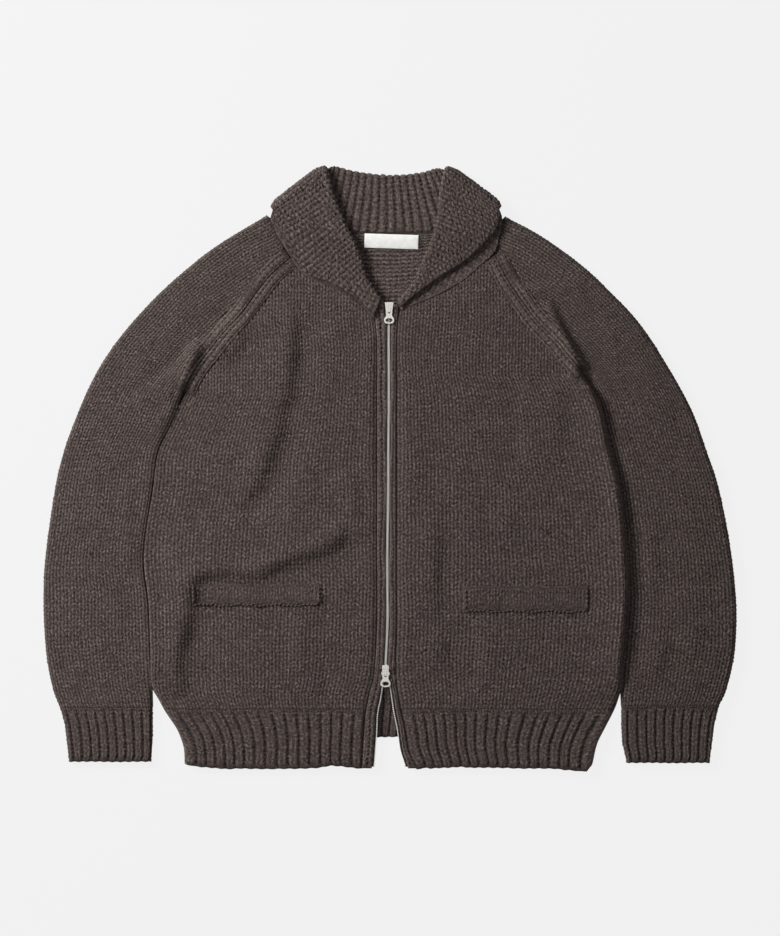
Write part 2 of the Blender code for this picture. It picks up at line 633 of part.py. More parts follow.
def collar_stations():
    """Every half rib of the collar: its section, and how far its fall is turned from facing up."""
    stations = []
    for side in ("right", "left"):
        rows = along(COLLAR_FRONT[side])
        last = len(COLLAR_FRONT[side]) - 1
        fine = rows(np.linspace(0, last, 200))[:, 2:4]
        length = np.concatenate([[0], np.cumsum(np.linalg.norm(np.diff(fine, axis=0), axis=1))])
        half_ribs = 2 * COLLAR_RIBS[side]
        steps = np.linspace(0, length[-1], half_ribs + 1)
        places = np.interp(steps, length, np.linspace(0, last, 200))
        front = [(rows(place), 0.0) for place in places]
        turns = np.linspace(0, math.pi, 2 * COLLAR_RIBS["shoulder"] + 1)[1:-1]
        shoulder = [(rows(last), turn) for turn in turns]
        stations.append(front + shoulder)
    back_rows = along(COLLAR_BACK)
    half_ribs = 2 * COLLAR_RIBS["back"]
    back = [(back_rows(place), math.pi)
            for place in np.linspace(0, len(COLLAR_BACK) - 1, half_ribs + 1)]
    return stations[0] + back + stations[1][::-1]


def collar_section(section, turn, ridge):
    """Outer and inner points of one section, from the neck seam over the roll to the edge."""
    seam, roll, edge = section[0:2], section[2:4], section[4:6]
    to_seam = (seam - roll) / np.linalg.norm(seam - roll)
    to_edge = (edge - roll) / np.linalg.norm(edge - roll)
    outward = np.array([-to_seam[1], to_seam[0]])
    outward = outward if outward[1] > 0 else -outward
    facing = np.array([*(outward * math.sin(turn)), math.cos(turn)])
    bend = KNIT + ROLL_GAP
    half_height = (COLLAR_MID + NECK_RISE - bend) / 2
    axis_height = (COLLAR_MID + NECK_RISE + bend) / 2

    def middle(plan):
        if turn == 0:
            return np.array([*plan, COLLAR_MID + float(neck_rise(*plan, 1.6 * NECK_RISE_LENGTH))])
        return np.array([*plan, axis_height]) + half_height * facing

    stand_rib = KNIT - RIB_DEPTH * (1 - ridge)
    fall_rib = KNIT - RIB_DEPTH * (1 - ridge) * smoothstep(1.6 - turn / math.pi * 1.8)
    centre = roll + bend * to_seam
    stand_length = np.linalg.norm(seam - centre)
    fall_length = np.linalg.norm(edge - centre)
    back_to_roll = np.array([*-(to_seam + to_edge) / np.linalg.norm(to_seam + to_edge), 0])
    outer, inner = [], []
    for share in (1.0, 0.55, 0.0):
        place = middle(centre + share * stand_length * to_seam)
        outer.append(place - (ROLL_GAP + stand_rib) * facing)
        inner.append(place - ROLL_GAP * facing)
    for angle in np.radians((-50, 0, 50)):
        radius = ROLL_GAP + stand_rib + (fall_rib - stand_rib) * (angle > 0)
        way = math.cos(angle) * back_to_roll + math.sin(angle) * facing
        outer.append(middle(centre) + radius * way)
    inner.append(middle(centre) + ROLL_GAP * back_to_roll)
    toward = (edge - centre) / fall_length
    for share in (0.0, 0.33, 0.67, 1.0):
        place = middle(centre + share * fall_length * toward)
        outer.append(place + (ROLL_GAP + fall_rib) * facing)
        if share != 0.33:
            inner.append(place + ROLL_GAP * facing)
    return outer, inner


def collar():
    """The shawl collar, one ribbed strip folded along its roll and round both shoulders."""
    made = [collar_section(section, turn, k % 2)
            for k, (section, turn) in enumerate(collar_stations())]
    outer = np.array([o for o, _ in made]).transpose(1, 0, 2)
    inner = np.array([i for _, i in made]).transpose(1, 0, 2)[:, ::2]
    wall("collar", outer, inner, material_of("Brown wool rib", BROWN))


def beside_slider(y):
    """1 beside a slider and 0 away from both."""
    share = 0.0
    for _, hinge_y in HINGE.values():
        share = max(share, float(np.exp(-(((y - (hinge_y - 1.5)) / 12) ** 4))))
    return share


def band(side):
    """The knitted facing beside the zip, from the hem to the collar's end."""
    sign = -1 if side == "right" else 1
    top = 224.0 if side == "right" else 210.5
    seam_rows = [*HEM_ROWS[::-1], *zip_side_rows(side)[1:], 192, 198, 205, top]
    beside = [hinge_y + step for _, hinge_y in HINGE.values() for step in (-14, -8, 6, 12)]
    rings = []
    for y in sorted({*seam_rows, *(y for y in beside if y < 200)}):
        clear = BAND_CLEAR + (SLIDER_CLEAR - BAND_CLEAR) * beside_slider(y)
        zip_x = float(CHAIN_X[side](y)) + sign * clear
        seam_x = float(np.interp(y, seam_rows, BAND_X[side](seam_rows))) - sign * SEAM / 2
        if side == "right" and y > 213:
            zip_x = min(zip_x, -6.6 - 0.92 * (y - 213))
        lift = 2.4 * float(smoothstep((y - 203) / 20))
        floor, ceiling = BAND[0] + lift, BAND[1] + lift
        width = seam_x - zip_x
        soft = 1.4 * np.sign(width)
        rings.append([
            (seam_x, y, floor), (seam_x, y, ceiling - 0.6), (seam_x - soft, y, ceiling),
            (zip_x + soft, y, ceiling), (zip_x, y, ceiling - 1.4), (zip_x, y, floor),
        ])
    bar(f"band_{side}", rings, material_of("Brown wool knit", BROWN))


def zip_half(side):
    """Half of the zip: a woven tape with the chain of teeth along its inner edge."""
    sign = -1 if side == "right" else 1
    top = 207.0
    rings = []
    split = (-283.5, -271, -265, -259.5, -255, -250)
    for y in (*np.linspace(HEM_BOTTOM + 2, -296, 9), *split, *np.linspace(-240, top, 9)):
        x = float(CHAIN_X[side](y))
        chain_x = x + sign * CHAIN_WIDTH
        tape_x = x + sign * TAPE_WIDTH
        rings.append([
            (x, y, CHAIN[0]), (x, y, CHAIN[1]), (chain_x, y, CHAIN[1]), (chain_x, y, TAPE[1]),
            (tape_x, y, TAPE[1]), (tape_x, y, TAPE[0]), (chain_x, y, TAPE[0]), (chain_x, y, CHAIN[0]),
        ])
    bar(f"zip_{side}", rings, material_of("Zip tape", BROWN))


def box_between(name, low, high, taper=1.0, taper_end=1):
    """A box in millimetres whose end towards taper_end on Y is narrower by the taper."""
    low, high = np.array(low, float), np.array(high, float)
    middle = (low[0] + high[0]) / 2
    rings = []
    for y in (low[1], high[1]):
        narrow = taper if (y == high[1]) == (taper_end > 0) else 1.0
        left, right = middle + narrow * (low[0] - middle), middle + narrow * (high[0] - middle)
        rings.append([(left, y, low[2]), (right, y, low[2]), (right, y, high[2]), (left, y, high[2])])
    return bar(name, rings, material_of("Polished steel", STEEL, 1.0, 0.25))


def join_cutters(target, helpers, operation):
    for helper in helpers:
        helper.hide_render = True
        helper.display_type = "WIRE"
        join = target.modifiers.new(operation.title(), "BOOLEAN")
        join.operation = operation
        join.object = helper


def slider(name):
    """A zip slider: two plates joined by a post, flanges down each side and the pull's bridge."""
    x, hinge_y = HINGE[name]
    turn = SLIDER_TURN[name]
    wide_end = hinge_y + turn * 5.5 if turn > 0 else hinge_y - 6.8
    low_y, high_y = sorted((wide_end, wide_end - turn * SLIDER_LENGTH))
    taper = SLIDER_TAIL / SLIDER_WIDTH
    half = SLIDER_WIDTH / 2
    (under, under_top), (over, over_top) = SLIDER_PLATES
    body = box_between(f"slider_{name}", (x - half, low_y, over), (x + half, high_y, over_top),
                       taper, -turn)
    plate = box_between(f"slider_{name}_plate", (x - half, low_y, under),
                        (x + half, high_y, under_top), taper, -turn)
    post_low, post_high = sorted((wide_end - turn * 0.6, wide_end - turn * 4.2))
    post = box_between(f"slider_{name}_post", (x - 1.2, post_low, under + 0.3),
                       (x + 1.2, post_high, over + 0.5))
    arch_top, arch_low = hinge_y + 2.5, hinge_y + 2.5 - BRIDGE_LENGTH
    bridge = box_between(f"slider_{name}_bridge", (x - BRIDGE_WIDTH / 2, arch_low, over + 0.5),
                         (x + BRIDGE_WIDTH / 2, arch_top, BRIDGE_TOP))
    arch = box_between(f"slider_{name}_arch", (x - 4, arch_low + 1.3, over_top),
                       (x + 4, arch_top - 1.2, BRIDGE_UNDER))
    join_cutters(bridge, [arch], "DIFFERENCE")
    join_cutters(body, [plate, post, bridge], "UNION")


def pull(name):
    """A zip pull: a flat tab with a slot that hangs on the bridge and an oval ring at its end."""
    x, hinge_y = HINGE[name]
    outline = (
        (4.1, 0.8), (4.15, -2), (4.15, -8.6), (3.7, -10.8), (4.2, -12.8), (5.7, -14.8),
        (6.6, -17.4), (6.3, -20), (4.4, -22), (0, -22.6),
    )
    border = [*outline, *[(-px, py) for px, py in outline[-2::-1]]]
    slot = [(1.7, -0.75), (1.7, -8.6), (0.9, -9.4), (-0.9, -9.4), (-1.7, -8.6), (-1.7, -0.75)]
    ring = [(4.6 * math.cos(a), -18.0 + 2.7 * math.sin(a))
            for a in np.linspace(0, 2 * math.pi, 15)[:-1]]
    shape = bpy.data.curves.new(f"pull_{name}", "CURVE")
    shape.dimensions = "2D"
    shape.fill_mode = "BOTH"
    shape.extrude = PULL_THICK / 2 * MM
    for loop in (border, slot, ring):
        spline = shape.splines.new("POLY")
        spline.points.add(len(loop) - 1)
        for point, (px, py) in zip(spline.points, loop):
            point.co = (px * MM, py * MM, 0, 1)
        spline.use_cyclic_u = True
    piece = add_object(f"pull_{name}", shape, material_of("Polished steel", STEEL, 1.0, 0.25))
    piece.location = (x * MM, hinge_y * MM, HINGE_HEIGHT * MM)


def height_on(panel, x, y):
    """Height in millimetres of a panel's upper face at points in plan."""
    form = bmesh.new()
    form.from_mesh(panel.data)
    tree = BVHTree.FromBMesh(form)
    form.free()
    down = Vector((0, 0, -1))
    heights = [tree.ray_cast(Vector((px * MM, py * MM, 1)), down)[0].z / MM
               for px, py in zip(x.ravel(), y.ravel())]
    return np.reshape(heights, x.shape)


def welt(side, front):
    """A pocket welt, made from the front's own surface moved out."""
    outer_x, inner_x, top_y, bottom_y = WELT[side]
    x, y = np.meshgrid(np.linspace(inner_x, outer_x, 17), np.linspace(bottom_y, top_y, 4))
    floor = height_on(front, x, y) + 2 * SEAM
    upper = np.stack([x, y, floor + WELT_THICK], -1)
    wall(f"welt_{side}", upper, np.stack([x, y, floor], -1), material_of("Brown wool knit", BROWN))


def label(back):
    """The blank neck label, lying on the inside of the back panel."""
    centre_x, centre_y, width, height, turn = LABEL
    columns, rows = np.linspace(-width / 2, width / 2, 9), np.linspace(-height / 2, height / 2, 5)
    across, down = np.meshgrid(columns, rows)
    c, s = math.cos(math.radians(turn)), math.sin(math.radians(turn))
    x, y = centre_x + c * across - s * down, centre_y + s * across + c * down
    floor = height_on(back, x, y) + 1.5 * SEAM
    wall("label", np.stack([x, y, floor + 0.8], -1), np.stack([x, y, floor], -1),
         material_of("White woven label", WHITE, 0.0, 0.6))


def main():
    for old in list(bpy.data.objects):
        bpy.data.objects.remove(old, do_unlink=True)
    back = back_panel()
    back_hem()
    label(back)
    for side in ("right", "left"):
        front = front_panel(side)
        welt(side, front)
        front_hem(side)
        sleeve(side)
        cuff(side)
        band(side)
        zip_half(side)
    collar()
    for name in ("top", "bottom"):
        slider(name)
        pull(name)


main()
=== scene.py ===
"""A bulky cowichan cardigan laid flat: every knitted piece, the zip and the label, in their places.

Lengths in the tables are in millimetres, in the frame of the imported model: +Z up, +Y to the
collar, +X to the wearer's left arm. Meshes are written in metres.
"""

import math

import bmesh
import bpy
import numpy as np
from bpy.props import FloatProperty, FloatVectorProperty, PointerProperty
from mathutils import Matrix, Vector
from mathutils.bvhtree import BVHTree


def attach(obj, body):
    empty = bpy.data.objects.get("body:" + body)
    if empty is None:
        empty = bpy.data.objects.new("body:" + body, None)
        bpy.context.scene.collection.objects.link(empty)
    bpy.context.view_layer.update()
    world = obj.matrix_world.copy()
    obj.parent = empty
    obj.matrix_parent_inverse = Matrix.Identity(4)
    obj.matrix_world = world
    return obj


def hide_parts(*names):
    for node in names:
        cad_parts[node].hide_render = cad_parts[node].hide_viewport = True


bl_info = {
    "name": "Cowichan cardigan",
    "version": (1, 0, 0),
    "blender": (4, 5, 0),
    "location": "3D View > Sidebar > Cardigan",
    "description": "Builds a zip-fronted shawl-collared cardigan knitted in bulky wool",
    "category": "Add Mesh",
}

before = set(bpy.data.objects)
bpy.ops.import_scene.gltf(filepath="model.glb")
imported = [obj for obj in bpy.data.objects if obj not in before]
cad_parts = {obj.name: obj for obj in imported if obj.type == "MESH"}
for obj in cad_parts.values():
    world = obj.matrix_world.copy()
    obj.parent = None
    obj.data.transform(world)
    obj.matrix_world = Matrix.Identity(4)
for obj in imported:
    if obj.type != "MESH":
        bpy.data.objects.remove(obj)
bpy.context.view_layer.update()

MM = 0.001
SIDES = ("right", "left")
SIGN = {"right": -1, "left": 1}  # of x on each side of the zip

# Heights and walls that the pieces share with the frame.
KNIT = 4.6  # thickness of the knitted wall
SEAM = 0.02  # gap between two pieces at a seam, closed up by the knit
SNUG = 1.3  # how far body and sleeve each reach into the gap between them
SNUG_FROM, SNUG_RUN = -306.0, 20.0  # where they start to close up, and over what length
SNUG_END = 14.0  # length over which they part again at the underarm
BACK_OUT = 1.4  # how far the back's edge reaches under that gap
EDGE_REACH = 6.5  # widest turn of a front's rolled side
SLEEVE_REACH = {"cuff": 6.0, "right": 6.0, "left": 22.0}  # the same for the sleeves' inner sides
HALF_ROLL = {"right": 0.55, "left": 0.0}  # share of a side's roll that is lost beside the sleeve
ROLL_FROM, ROLL_RUN = -300.0, 30.0  # where that starts, and over what length
FRONT_TOP = 12.2  # height of the upper layer over the floor
SIDE_FOOT = KNIT + SEAM  # where the front's rolled side stands on the back
LOWEST_TOP = 2 * KNIT + 0.9  # the upper layer's lowest face
ROLL_GAP = 0.6  # half the space between the collar's stand and its fall
COLLAR_MID = LOWEST_TOP + ROLL_GAP
NECK_RISE = 2 * (KNIT + ROLL_GAP) - KNIT  # lift over the fall folded under the back neck
NECK_RISE_LENGTH = 30.0
HEM_BOTTOM = -390.5
HEM_SEAM = -313.5
BACK_HEM_HEIGHT = 78.0
BACK_HEM_ARCH = 34.0  # how far the back hem's middle lies above its ends
BACK_HEM_ENDS = -385.0
RAGLAN_LAST = 8  # number of the raglan's last point, at the neck
NECK_FROM = RAGLAN_LAST - 1  # from this number on the rows bend to the neck
# How far in from its edge a layer's height is read, and over what length the layer takes it on.
HEIGHT_IN, HEIGHT_EASE = 7.0, 10.0
FOLD_SPARE = 10  # points before a sleeve's fold that stay where they are at the collar

# The body's side edges from the hem up to the underarm: x, y.
BODY_SIDE = {
    "right": (
        (-266.5, -391), (-268, -365.5), (-274.5, -344.5), (-294, -313.5), (-307, -286),
        (-309.5, -240.5), (-312, -178), (-318.5, -115.5), (-307, -30), (-299, 22),
        (-283.5, 56), (-268, 93.5),
    ),
    "left": (
        (262.5, -391), (271.5, -353.5), (279.5, -338), (294, -308), (301.5, -244.5),
        (305.5, -196.5), (308, -158.5), (304, -89.5), (296.5, -23.5), (284.5, 24.5),
        (269, 87), (251, 119.5),
    ),
}
# Raglan seams of the upper layer and of the lower one, from the underarm to the neck: x, y.
RAGLAN_FRONT = {
    "right": (
        (-268, 93.5), (-260, 113), (-248.5, 132.5), (-232.5, 152), (-212, 177),
        (-191, 200), (-174, 223.5), (-153, 250), (-129.5, 271),
    ),
    "left": (
        (251, 119.5), (242, 131.5), (230, 145.5), (218.5, 160), (204, 175.5),
        (187, 193.5), (169, 218.5), (150.5, 246), (136.5, 275),
    ),
}
RAGLAN_BACK = {
    "right": (
        (-268, 93.5), (-255, 121), (-237, 149.5), (-219, 177), (-199, 203.5),
        (-179, 231), (-159, 258.5), (-138, 285.5), (-118, 312),
    ),
    "left": (
        (251, 119.5), (238, 139), (223, 159), (207, 183.5), (190, 208),
        (172, 233), (153, 259.5), (132.5, 286), (112.5, 312),
    ),
}
# Grooves between the ribs of each front hem, as distances from the zip band along its lower edge.
HEM_GROOVES = {
    "right": (0, 12.7, 27, 40, 53, 67.3, 81.6, 95.9, 110.2, 125.8, 140.1, 154.4, 167.4, 180.4,
              193.4, 206.4, 219.4, 240),
    "left": (0, 13.8, 25.5, 37.2, 48.9, 61.9, 73.6, 85.3, 98.3, 111.3, 124.3, 139.9, 154.2,
             167.2, 181.5, 195.8, 208.8, 224.4, 246),
}
# How far the hems' lower edges are drawn up from a straight line: x, rise.
HEM_DRAWN_UP = {
    "right": ((-266, 5.0), (-257, 3.2), (-250, 1.9), (-234, 0.6), (-210, -1.8), (-195, -0.8),
              (-156, -1.6), (-117, -0.8), (-91, 0.5), (-78, 3.0), (-62, 1.8), (-47, 0),
              (-39, -0.8), (-31, -1.8), (-23, 1.0)),
    "left": ((21, 1.6), (29, -2.6), (36, -2.0), (44, 0.5), (52, -0.8), (78, 0.5), (91, 1.8),
             (104, 0.5), (150, 0), (169, -0.8), (216, -0.8), (224, -2.0), (239, -3.2),
             (247, -4.4), (255, -4.4), (262, 3.6)),
}
# The sleeve's outer fold, one point for each raglan step from the neck to the underarm: x, y.
SLEEVE_HEAD = {
    "right": (
        (-160, 326.5), (-196, 305.5), (-230.5, 283.5), (-264.5, 257), (-297.5, 227.5),
        (-327.5, 196.5), (-353.5, 165), (-374.5, 134), (-391.5, 102.5),
    ),
    "left": (
        (149.5, 325), (187, 305.5), (222, 282.5), (257.5, 255), (288.5, 225),
        (316, 196.5), (339.5, 165), (360, 131.5), (374, 108),
    ),
}
# The sleeve from the underarm to the cuff: inner x, inner y, outer x, outer y.
SLEEVE_ARM = {
    "right": (
        (-284.8, 56, -408, 63.5), (-301.2, 22, -424, 19.5), (-309.2, -30, -435.5, -30),
        (-320.7, -115.5, -447.5, -115.5), (-314.2, -178, -450, -178),
        (-311.7, -240.5, -446.5, -240.5), (-309.2, -286, -438.5, -286),
        (-307.2, HEM_SEAM + 2, -429, HEM_SEAM + 2),
    ),
    "left": (
        (271.2, 87, 394, 69), (286.8, 24.5, 410.5, 23.5), (298.8, -23.5, 426, -23.5),
        (306.3, -89.5, 440, -89.5), (310.3, -158.5, 448.5, -158.5),
        (307.8, -196.5, 450, -200), (303.8, -244.5, 447, -244.5),
        (300.3, -288, 437.5, -288), (299.4, HEM_SEAM + 4, 427.5, HEM_SEAM + 4),
    ),
}
# Cuffs: y below the cuff seam, inner x, outer x.
CUFF = {
    "right": ((0, -307.2, -429), (22, -307, -423), (45, -307.5, -420), (71, -309.5, -417)),
    "left": ((0, 299.4, 427.5), (22, 299.2, 422), (48, 300, 418.5), (74.5, 306, 415)),
}
# Seam between each front and its zip band, from the hem up: x, y.
BAND_SEAM = {
    "right": (
        (-36.5, -391.5), (-34.5, -355), (-31, -314.5), (-26, -290), (-22, -277),
        (-19, -251), (-17.2, -212), (-17, -100), (-17, 87), (-17.2, 165), (-18.8, 188.5),
        (-20.1, 201.5), (-21.8, 220),
    ),
    "left": (
        (35, -391.5), (23.5, -365.5), (18.5, -335), (13.5, -314.5), (10.5, -295),
        (7.5, -274.5), (7, -251), (8.2, -212), (8.5, -100), (8.5, 87), (9, 165),
        (10.2, 188.5), (10.9, 201.5), (10.4, 212),
    ),
}
# Inner edge of each half of the zip chain, from the hem up: x, y.
CHAIN_EDGE = {
    "right": (
        (-19.8, -388), (-16.7, -347), (-14.6, -314.5), (-11.5, -300.5), (-9, -283.5),
        (-7.8, -271), (-7.45, -265), (-6.4, -259.5), (-5.85, -255), (-5.3, -245),
        (-3.65, -212), (-3.65, -121), (-2.65, -43), (-2.15, 35), (-1.65, 87),
        (-1.65, 178), (-1.35, 214),
    ),
    "left": (
        (19.5, -388), (13.2, -368), (9, -340), (3.9, -314), (-0.9, -283.5),
        (-4, -271), (-4.35, -265), (-5.4, -259.5), (-5.55, -255), (-5, -245),
        (-3.35, -212), (-3.35, -121), (-2.35, -43), (-1.85, 35), (-1.35, 87),
        (-1.35, 178), (-1.05, 214),
    ),
}
# Sections of the collar from the zip to the shoulder. Each runs from the neck seam to the
# roll and back to the outer edge: seam x, y, roll x, y, edge x, y.
COLLAR_FRONT = {
    "right": (
        (-19.5, 191, -11, 219, -20, 194), (-48, 220.5, -27.5, 245.5, -47, 219.5),
        (-80.5, 237, -36, 271.5, -79, 238.5), (-106.5, 246.5, -45.5, 294, -105, 248),
        (-121, 260, -53.5, 309.5, -119.5, 261.5), (-133, 279.5, -60.5, 326.5, -131, 281),
        (-144.5, 297.5, -67, 342, -140.5, 300.5), (-151, 312, -73, 359, -147.5, 316),
        (-154.5, 322.5, -76.5, 373, -152, 327.5), (-151.3, 332.6, -79.5, 383, -151.3, 332.6),
    ),
    "left": (
        (14, 203.5, 9, 216, 13.5, 207), (47, 217, 21, 229, 34, 224),
        (70, 227.5, 30, 243, 52, 237), (96, 243, 40.5, 266.5, 73, 251),
        (115.5, 260, 49, 284.5, 92.5, 263), (130, 272.5, 56, 304, 109, 276),
        (138, 283.5, 60, 322.5, 125, 292), (141.5, 297.5, 62, 340.5, 136.5, 305.5),
        (144.5, 312, 63.5, 357.5, 141, 318.5), (145, 323.5, 66.5, 372, 142.5, 327.5),
        (141.2, 333.6, 69, 381, 141.2, 333.6),
    ),
}
COLLAR_BACK = (
    (-151.3, 332.6, -79.5, 383, -151.3, 332.6), (-117, 315, -73, 387.5, -118.5, 318.5),
    (-88.5, 307, -63.5, 387.5, -89.5, 309.5), (-52, 303.5, -39, 383.5, -52, 307),
    (-2.5, 303, -2.5, 379.5, -2.5, 305.5), (45.5, 303.5, 32.5, 381.5, 45.5, 307),
    (83, 307, 52, 384, 84.5, 309.5), (110.5, 315, 60.5, 384.5, 112, 318.5),
    (141.2, 333.6, 69, 381, 141.2, 333.6),
)
# The fall's turned part at each shoulder: length of its round ends, and its least bulge there.
SHOULDER_ROUND, SHOULDER_END, SHOULDER_LEAST, SHOULDER_SEAM = 20.0, 18.0, 0.4, 0.12
ROLL_CORNERS = (((-79.5, 383), (-1.0, 4.0)), ((69, 381), (1.0, 5.0)))  # plan, and push outwards
RAGLAN_AT_NECK = {"right": 4.55, "left": 5.35}  # place of the raglan seam along those sections
COLLAR_RIBS = {"right": 14, "back": 22, "left": 15, "shoulder": 3}
# Broad swells of the upper layer: half-width, rise, and the line that each one follows.
SWELLS = (
    (26, 2.0, ((-165, 175), (-172, 110), (-185, 50))),
    (24, 1.6, ((-80, 170), (-92, 90), (-105, 10), (-125, -60))),
    (26, 1.6, ((-120, -60), (-200, -85), (-270, -100), (-292, -180), (-296, -260))),
    (30, 1.4, ((-175, -190), (-175, -260))),
    (26, 1.4, ((95, -20), (98, -120), (110, -200))),
    (24, 1.0, ((30, 60), (32, -60), (30, -180))),
    (26, 2.0, ((281, -30), (284, -120), (281, -220), (284, -270))),
    (26, 1.8, ((-225, 215), (-300, 150), (-350, 60))),
    (26, 1.8, ((250, 235), (310, 160), (350, 70))),
    (28, 1.6, ((-372, 0), (-385, -110), (-375, -220))),
    (28, 1.6, ((392, -20), (398, -120), (378, -230))),
)
# Creases of the upper layer: half-width, then points x, y and rise. The cloth stands higher on
# the right hand of the line than on its left, or lower where the rise is negative.
CREASES = (
    (16, ((-121, 212, 0), (-123, 190, 6.0), (-124, 159, 9.2), (-130, 107, 8.4), (-139, 68, 6.8),
          (-147, 35, 7.8), (-159, 3, 7.4), (-171, -23, 6.6), (-184, -40, 4.4), (-202, -60, 0))),
    (16, ((-58, -66, 0), (-66, -92, 8.4), (-80, -106, 7.8), (-104, -114, 7.6), (-123, -120, 8.2),
          (-143, -127, 8.6), (-162, -136, 8.0), (-180, -142, 5.4), (-202, -144, 0))),
    (14, ((-180, -142, 0), (-208, -139, 5.0), (-231, -139, 6.6), (-247, -144, 8.2),
          (-255, -155, 9.0), (-258, -173, 8.6), (-262, -205, 8.8), (-268, -225, 9.4),
          (-272, -244, 9.4), (-272, -261, 8.2), (-268, -277, 6.0), (-262, -298, 0))),
    (8, ((-86, -150, 0), (-87, -162, 1.6), (-91, -186, 1.4), (-96, -205, 0))),
    (11, ((-111, -190, 0), (-110, -222, 3.0), (-109, -262, 2.8), (-108, -305, 0))),
    (9, ((-97, -210, 0), (-94, -240, 2.2), (-92, -272, 2.6), (-93, -308, 0))),
    (15, ((-180, 192, 0), (-187, 173, 4.6), (-200, 150, 4.4), (-218, 124, 0))),
    (14, ((-46, 0, 0), (-44, -25, 3.2), (-39, -80, 3.2), (-42, -110, 0))),
    (10, ((-160, 262, 0), (-172, 250, -3.4), (-195, 224, -6.0), (-211, 198, -7.0),
          (-228, 181, -7.0), (-247, 168, -7.6), (-258, 159, -7.0), (-275, 137, -6.4),
          (-294, 120, -5.4), (-312, 107, -4.4), (-332, 94, -2.8), (-356, 74, 0))),
    (9, ((-243, 166, 0), (-247, 153, 7.0), (-253, 136, 8.4), (-260, 117, 7.6), (-270, 96, 6.4),
         (-281, 74, 5.0), (-298, 35, 3.4), (-309, -30, 3.2), (-318, -115, 3.0), (-312, -178, 2.6),
         (-308, -240, 0))),
    (9, ((-345, -165, 0), (-331, -186, -2.6), (-316, -208, -2.6), (-306, -228, 0))),
    (6.5, ((205, 218, 0), (211, 207, 5.0), (219, 187, 9.0), (230, 167, 11.4), (242, 144, 12.8),
           (252, 121, 13.6), (261, 105, 13.8), (270.5, 87, 13.8), (286, 24.5, 13.0),
           (298, -23.5, 12.8), (305.5, -89.5, 12.8), (309.2, -158.5, 12.8), (306.7, -196.5, 12.4),
           (302.6, -244.5, 10.6), (299, -275, 6.0), (296.5, -300, 2.4), (296, -314, 0))),
    (10, ((140, 238, 0), (165, 234, 3.6), (190, 231, 3.8), (216, 227, 0))),
    (12, ((60, -56, 0), (60, -90, 3.8), (60, -130, 5.0), (61, -165, 4.2), (64, -200, 2.4),
          (71, -235, 3.0), (75, -264, 0))),
    (12, ((110, -180, 0), (110, -215, -4.0), (109, -255, -4.4), (110, -314, 0))),
    (15, ((166, 105, 0), (166, 70, -2.6), (167, 20, -2.6), (166, -14, 0))),
    (14, ((163, -30, 0), (162, -50, 2.6), (158, -78, 2.6), (155, -95, 0))),
    (14, ((220, 115, 0), (222, 80, 2.4), (218, 40, 2.0), (216, 10, 0))),
    (12, ((352, -60, 0), (342, -95, 2.8), (350, -130, 2.6), (346, -175, 0))),
    (12, ((352, -195, 0), (356, -225, 2.6), (350, -260, 2.6), (346, -290, 0))),
    (12, ((-330, -20, 0), (-336, -60, 2.8), (-333, -110, 3.0), (-338, -150, 0))),
    (7, ((-22, 186, 0), (-22, 165, 2.4), (-22, 80, 3.0), (-21, 0, 2.6), (-22, -120, 3.2),
         (-22, -215, 3.0), (-26, -262, 3.0), (-33, -300, 2.2), (-36, -345, 1.4), (-38, -388, 0))),
    (7, ((13, 180, 0), (13, 120, -2.2), (13, -20, -2.6), (13, -180, -2.4), (12, -240, -2.0),
         (15, -290, -1.8), (21, -335, -1.2), (31, -380, 0))),
)
CREASE_UP = 0.45  # share by which the high side of a crease outdoes its low side
CREASE_REACH = 45.0  # how far a crease still bends the cloth
UNEVEN, UNEVEN_SPREAD = 0.3, 8.0  # the knit's own gentle unevenness: height, half-length
MAP_STEP = 2.0  # raster on which the folds are worked out
MAP_HALF_WIDTH, MAP_HALF_LENGTH = 472, 412
NECK_REACH = 18.0  # how far the upper layer sinks towards the collar's seam
SOFT_FLOOR = 0.4  # how softly the upper layer comes to rest on the lower one
OWN_SLIDE, OWN_SWAY, OWN_STAND = 0.45, 0.3, 0.22  # unevenness of each single stitch
# Pocket welts: x of the outer end, x of the inner end, top y, bottom y.
WELT = {"right": (-256, -91, -152, -178), "left": (256, 96, -154.5, -186)}
LABEL = (2.0, 292.4, 70.0, 18.0, -1.8)  # centre x, y, width, height, turn in degrees

# The zip, in heights over the floor.
TAPE = (7.2, 8.0)
CHAIN = (6.6, 10.5)  # of the teeth
BAND = (8.3, 11.6)
TAPE_TOP, TAPE_POINTS = 207.0, (0.6, 2.4, 3.4, 5.2, 7.0)  # its end, and places across it
TOOTH, TOOTH_EDGE = (1.6, 1.1), 0.2  # across and along the tape, and what its edges lose
TEETH_FROM, TEETH_TOP = HEM_BOTTOM + 3.5, 203.5  # the chain's ends
TEETH_MEET = 0.2  # how far the teeth of one side reach past the zip's middle
# Where the bands close over the teeth: middle and half length along the zip, and how far shut.
HIDDEN_TEETH = ((73, 15, 1.0), (-26, 38, 1.0), (-138, 17, 1.0), (128, 8, 0.5), (-185, 9, 0.6))
HIDDEN_CLOSER = 2.0  # how much closer to the chain a band lies where it hides the teeth
BAND_HIGHER = {"right": 0.0, "left": 0.7}  # the left band lies a little over the right one
BAND_WAVE, BAND_WAVE_LENGTH = 0.4, 10.6  # how a band's edge waves beside the teeth
SPLIT_CLEAR, SPLIT_TOP = 0.9, -285.0  # how much more of the teeth shows where the zip is open
BAND_CLEAR = 2.7  # from the chain's inner edge to the band
SLIDER_CLEAR = 6.3  # the same beside a slider
SLIDER_TOP = 10.7  # height of a slider's upper plate
SLIDER_Y = {"top": 206.5, "bottom": -263.9}  # the middle of each slider
SLIDER_NEAR = 12.0  # how far along the zip a slider changes the bands
BAND_TOP = {"right": 224.0, "left": 210.5}
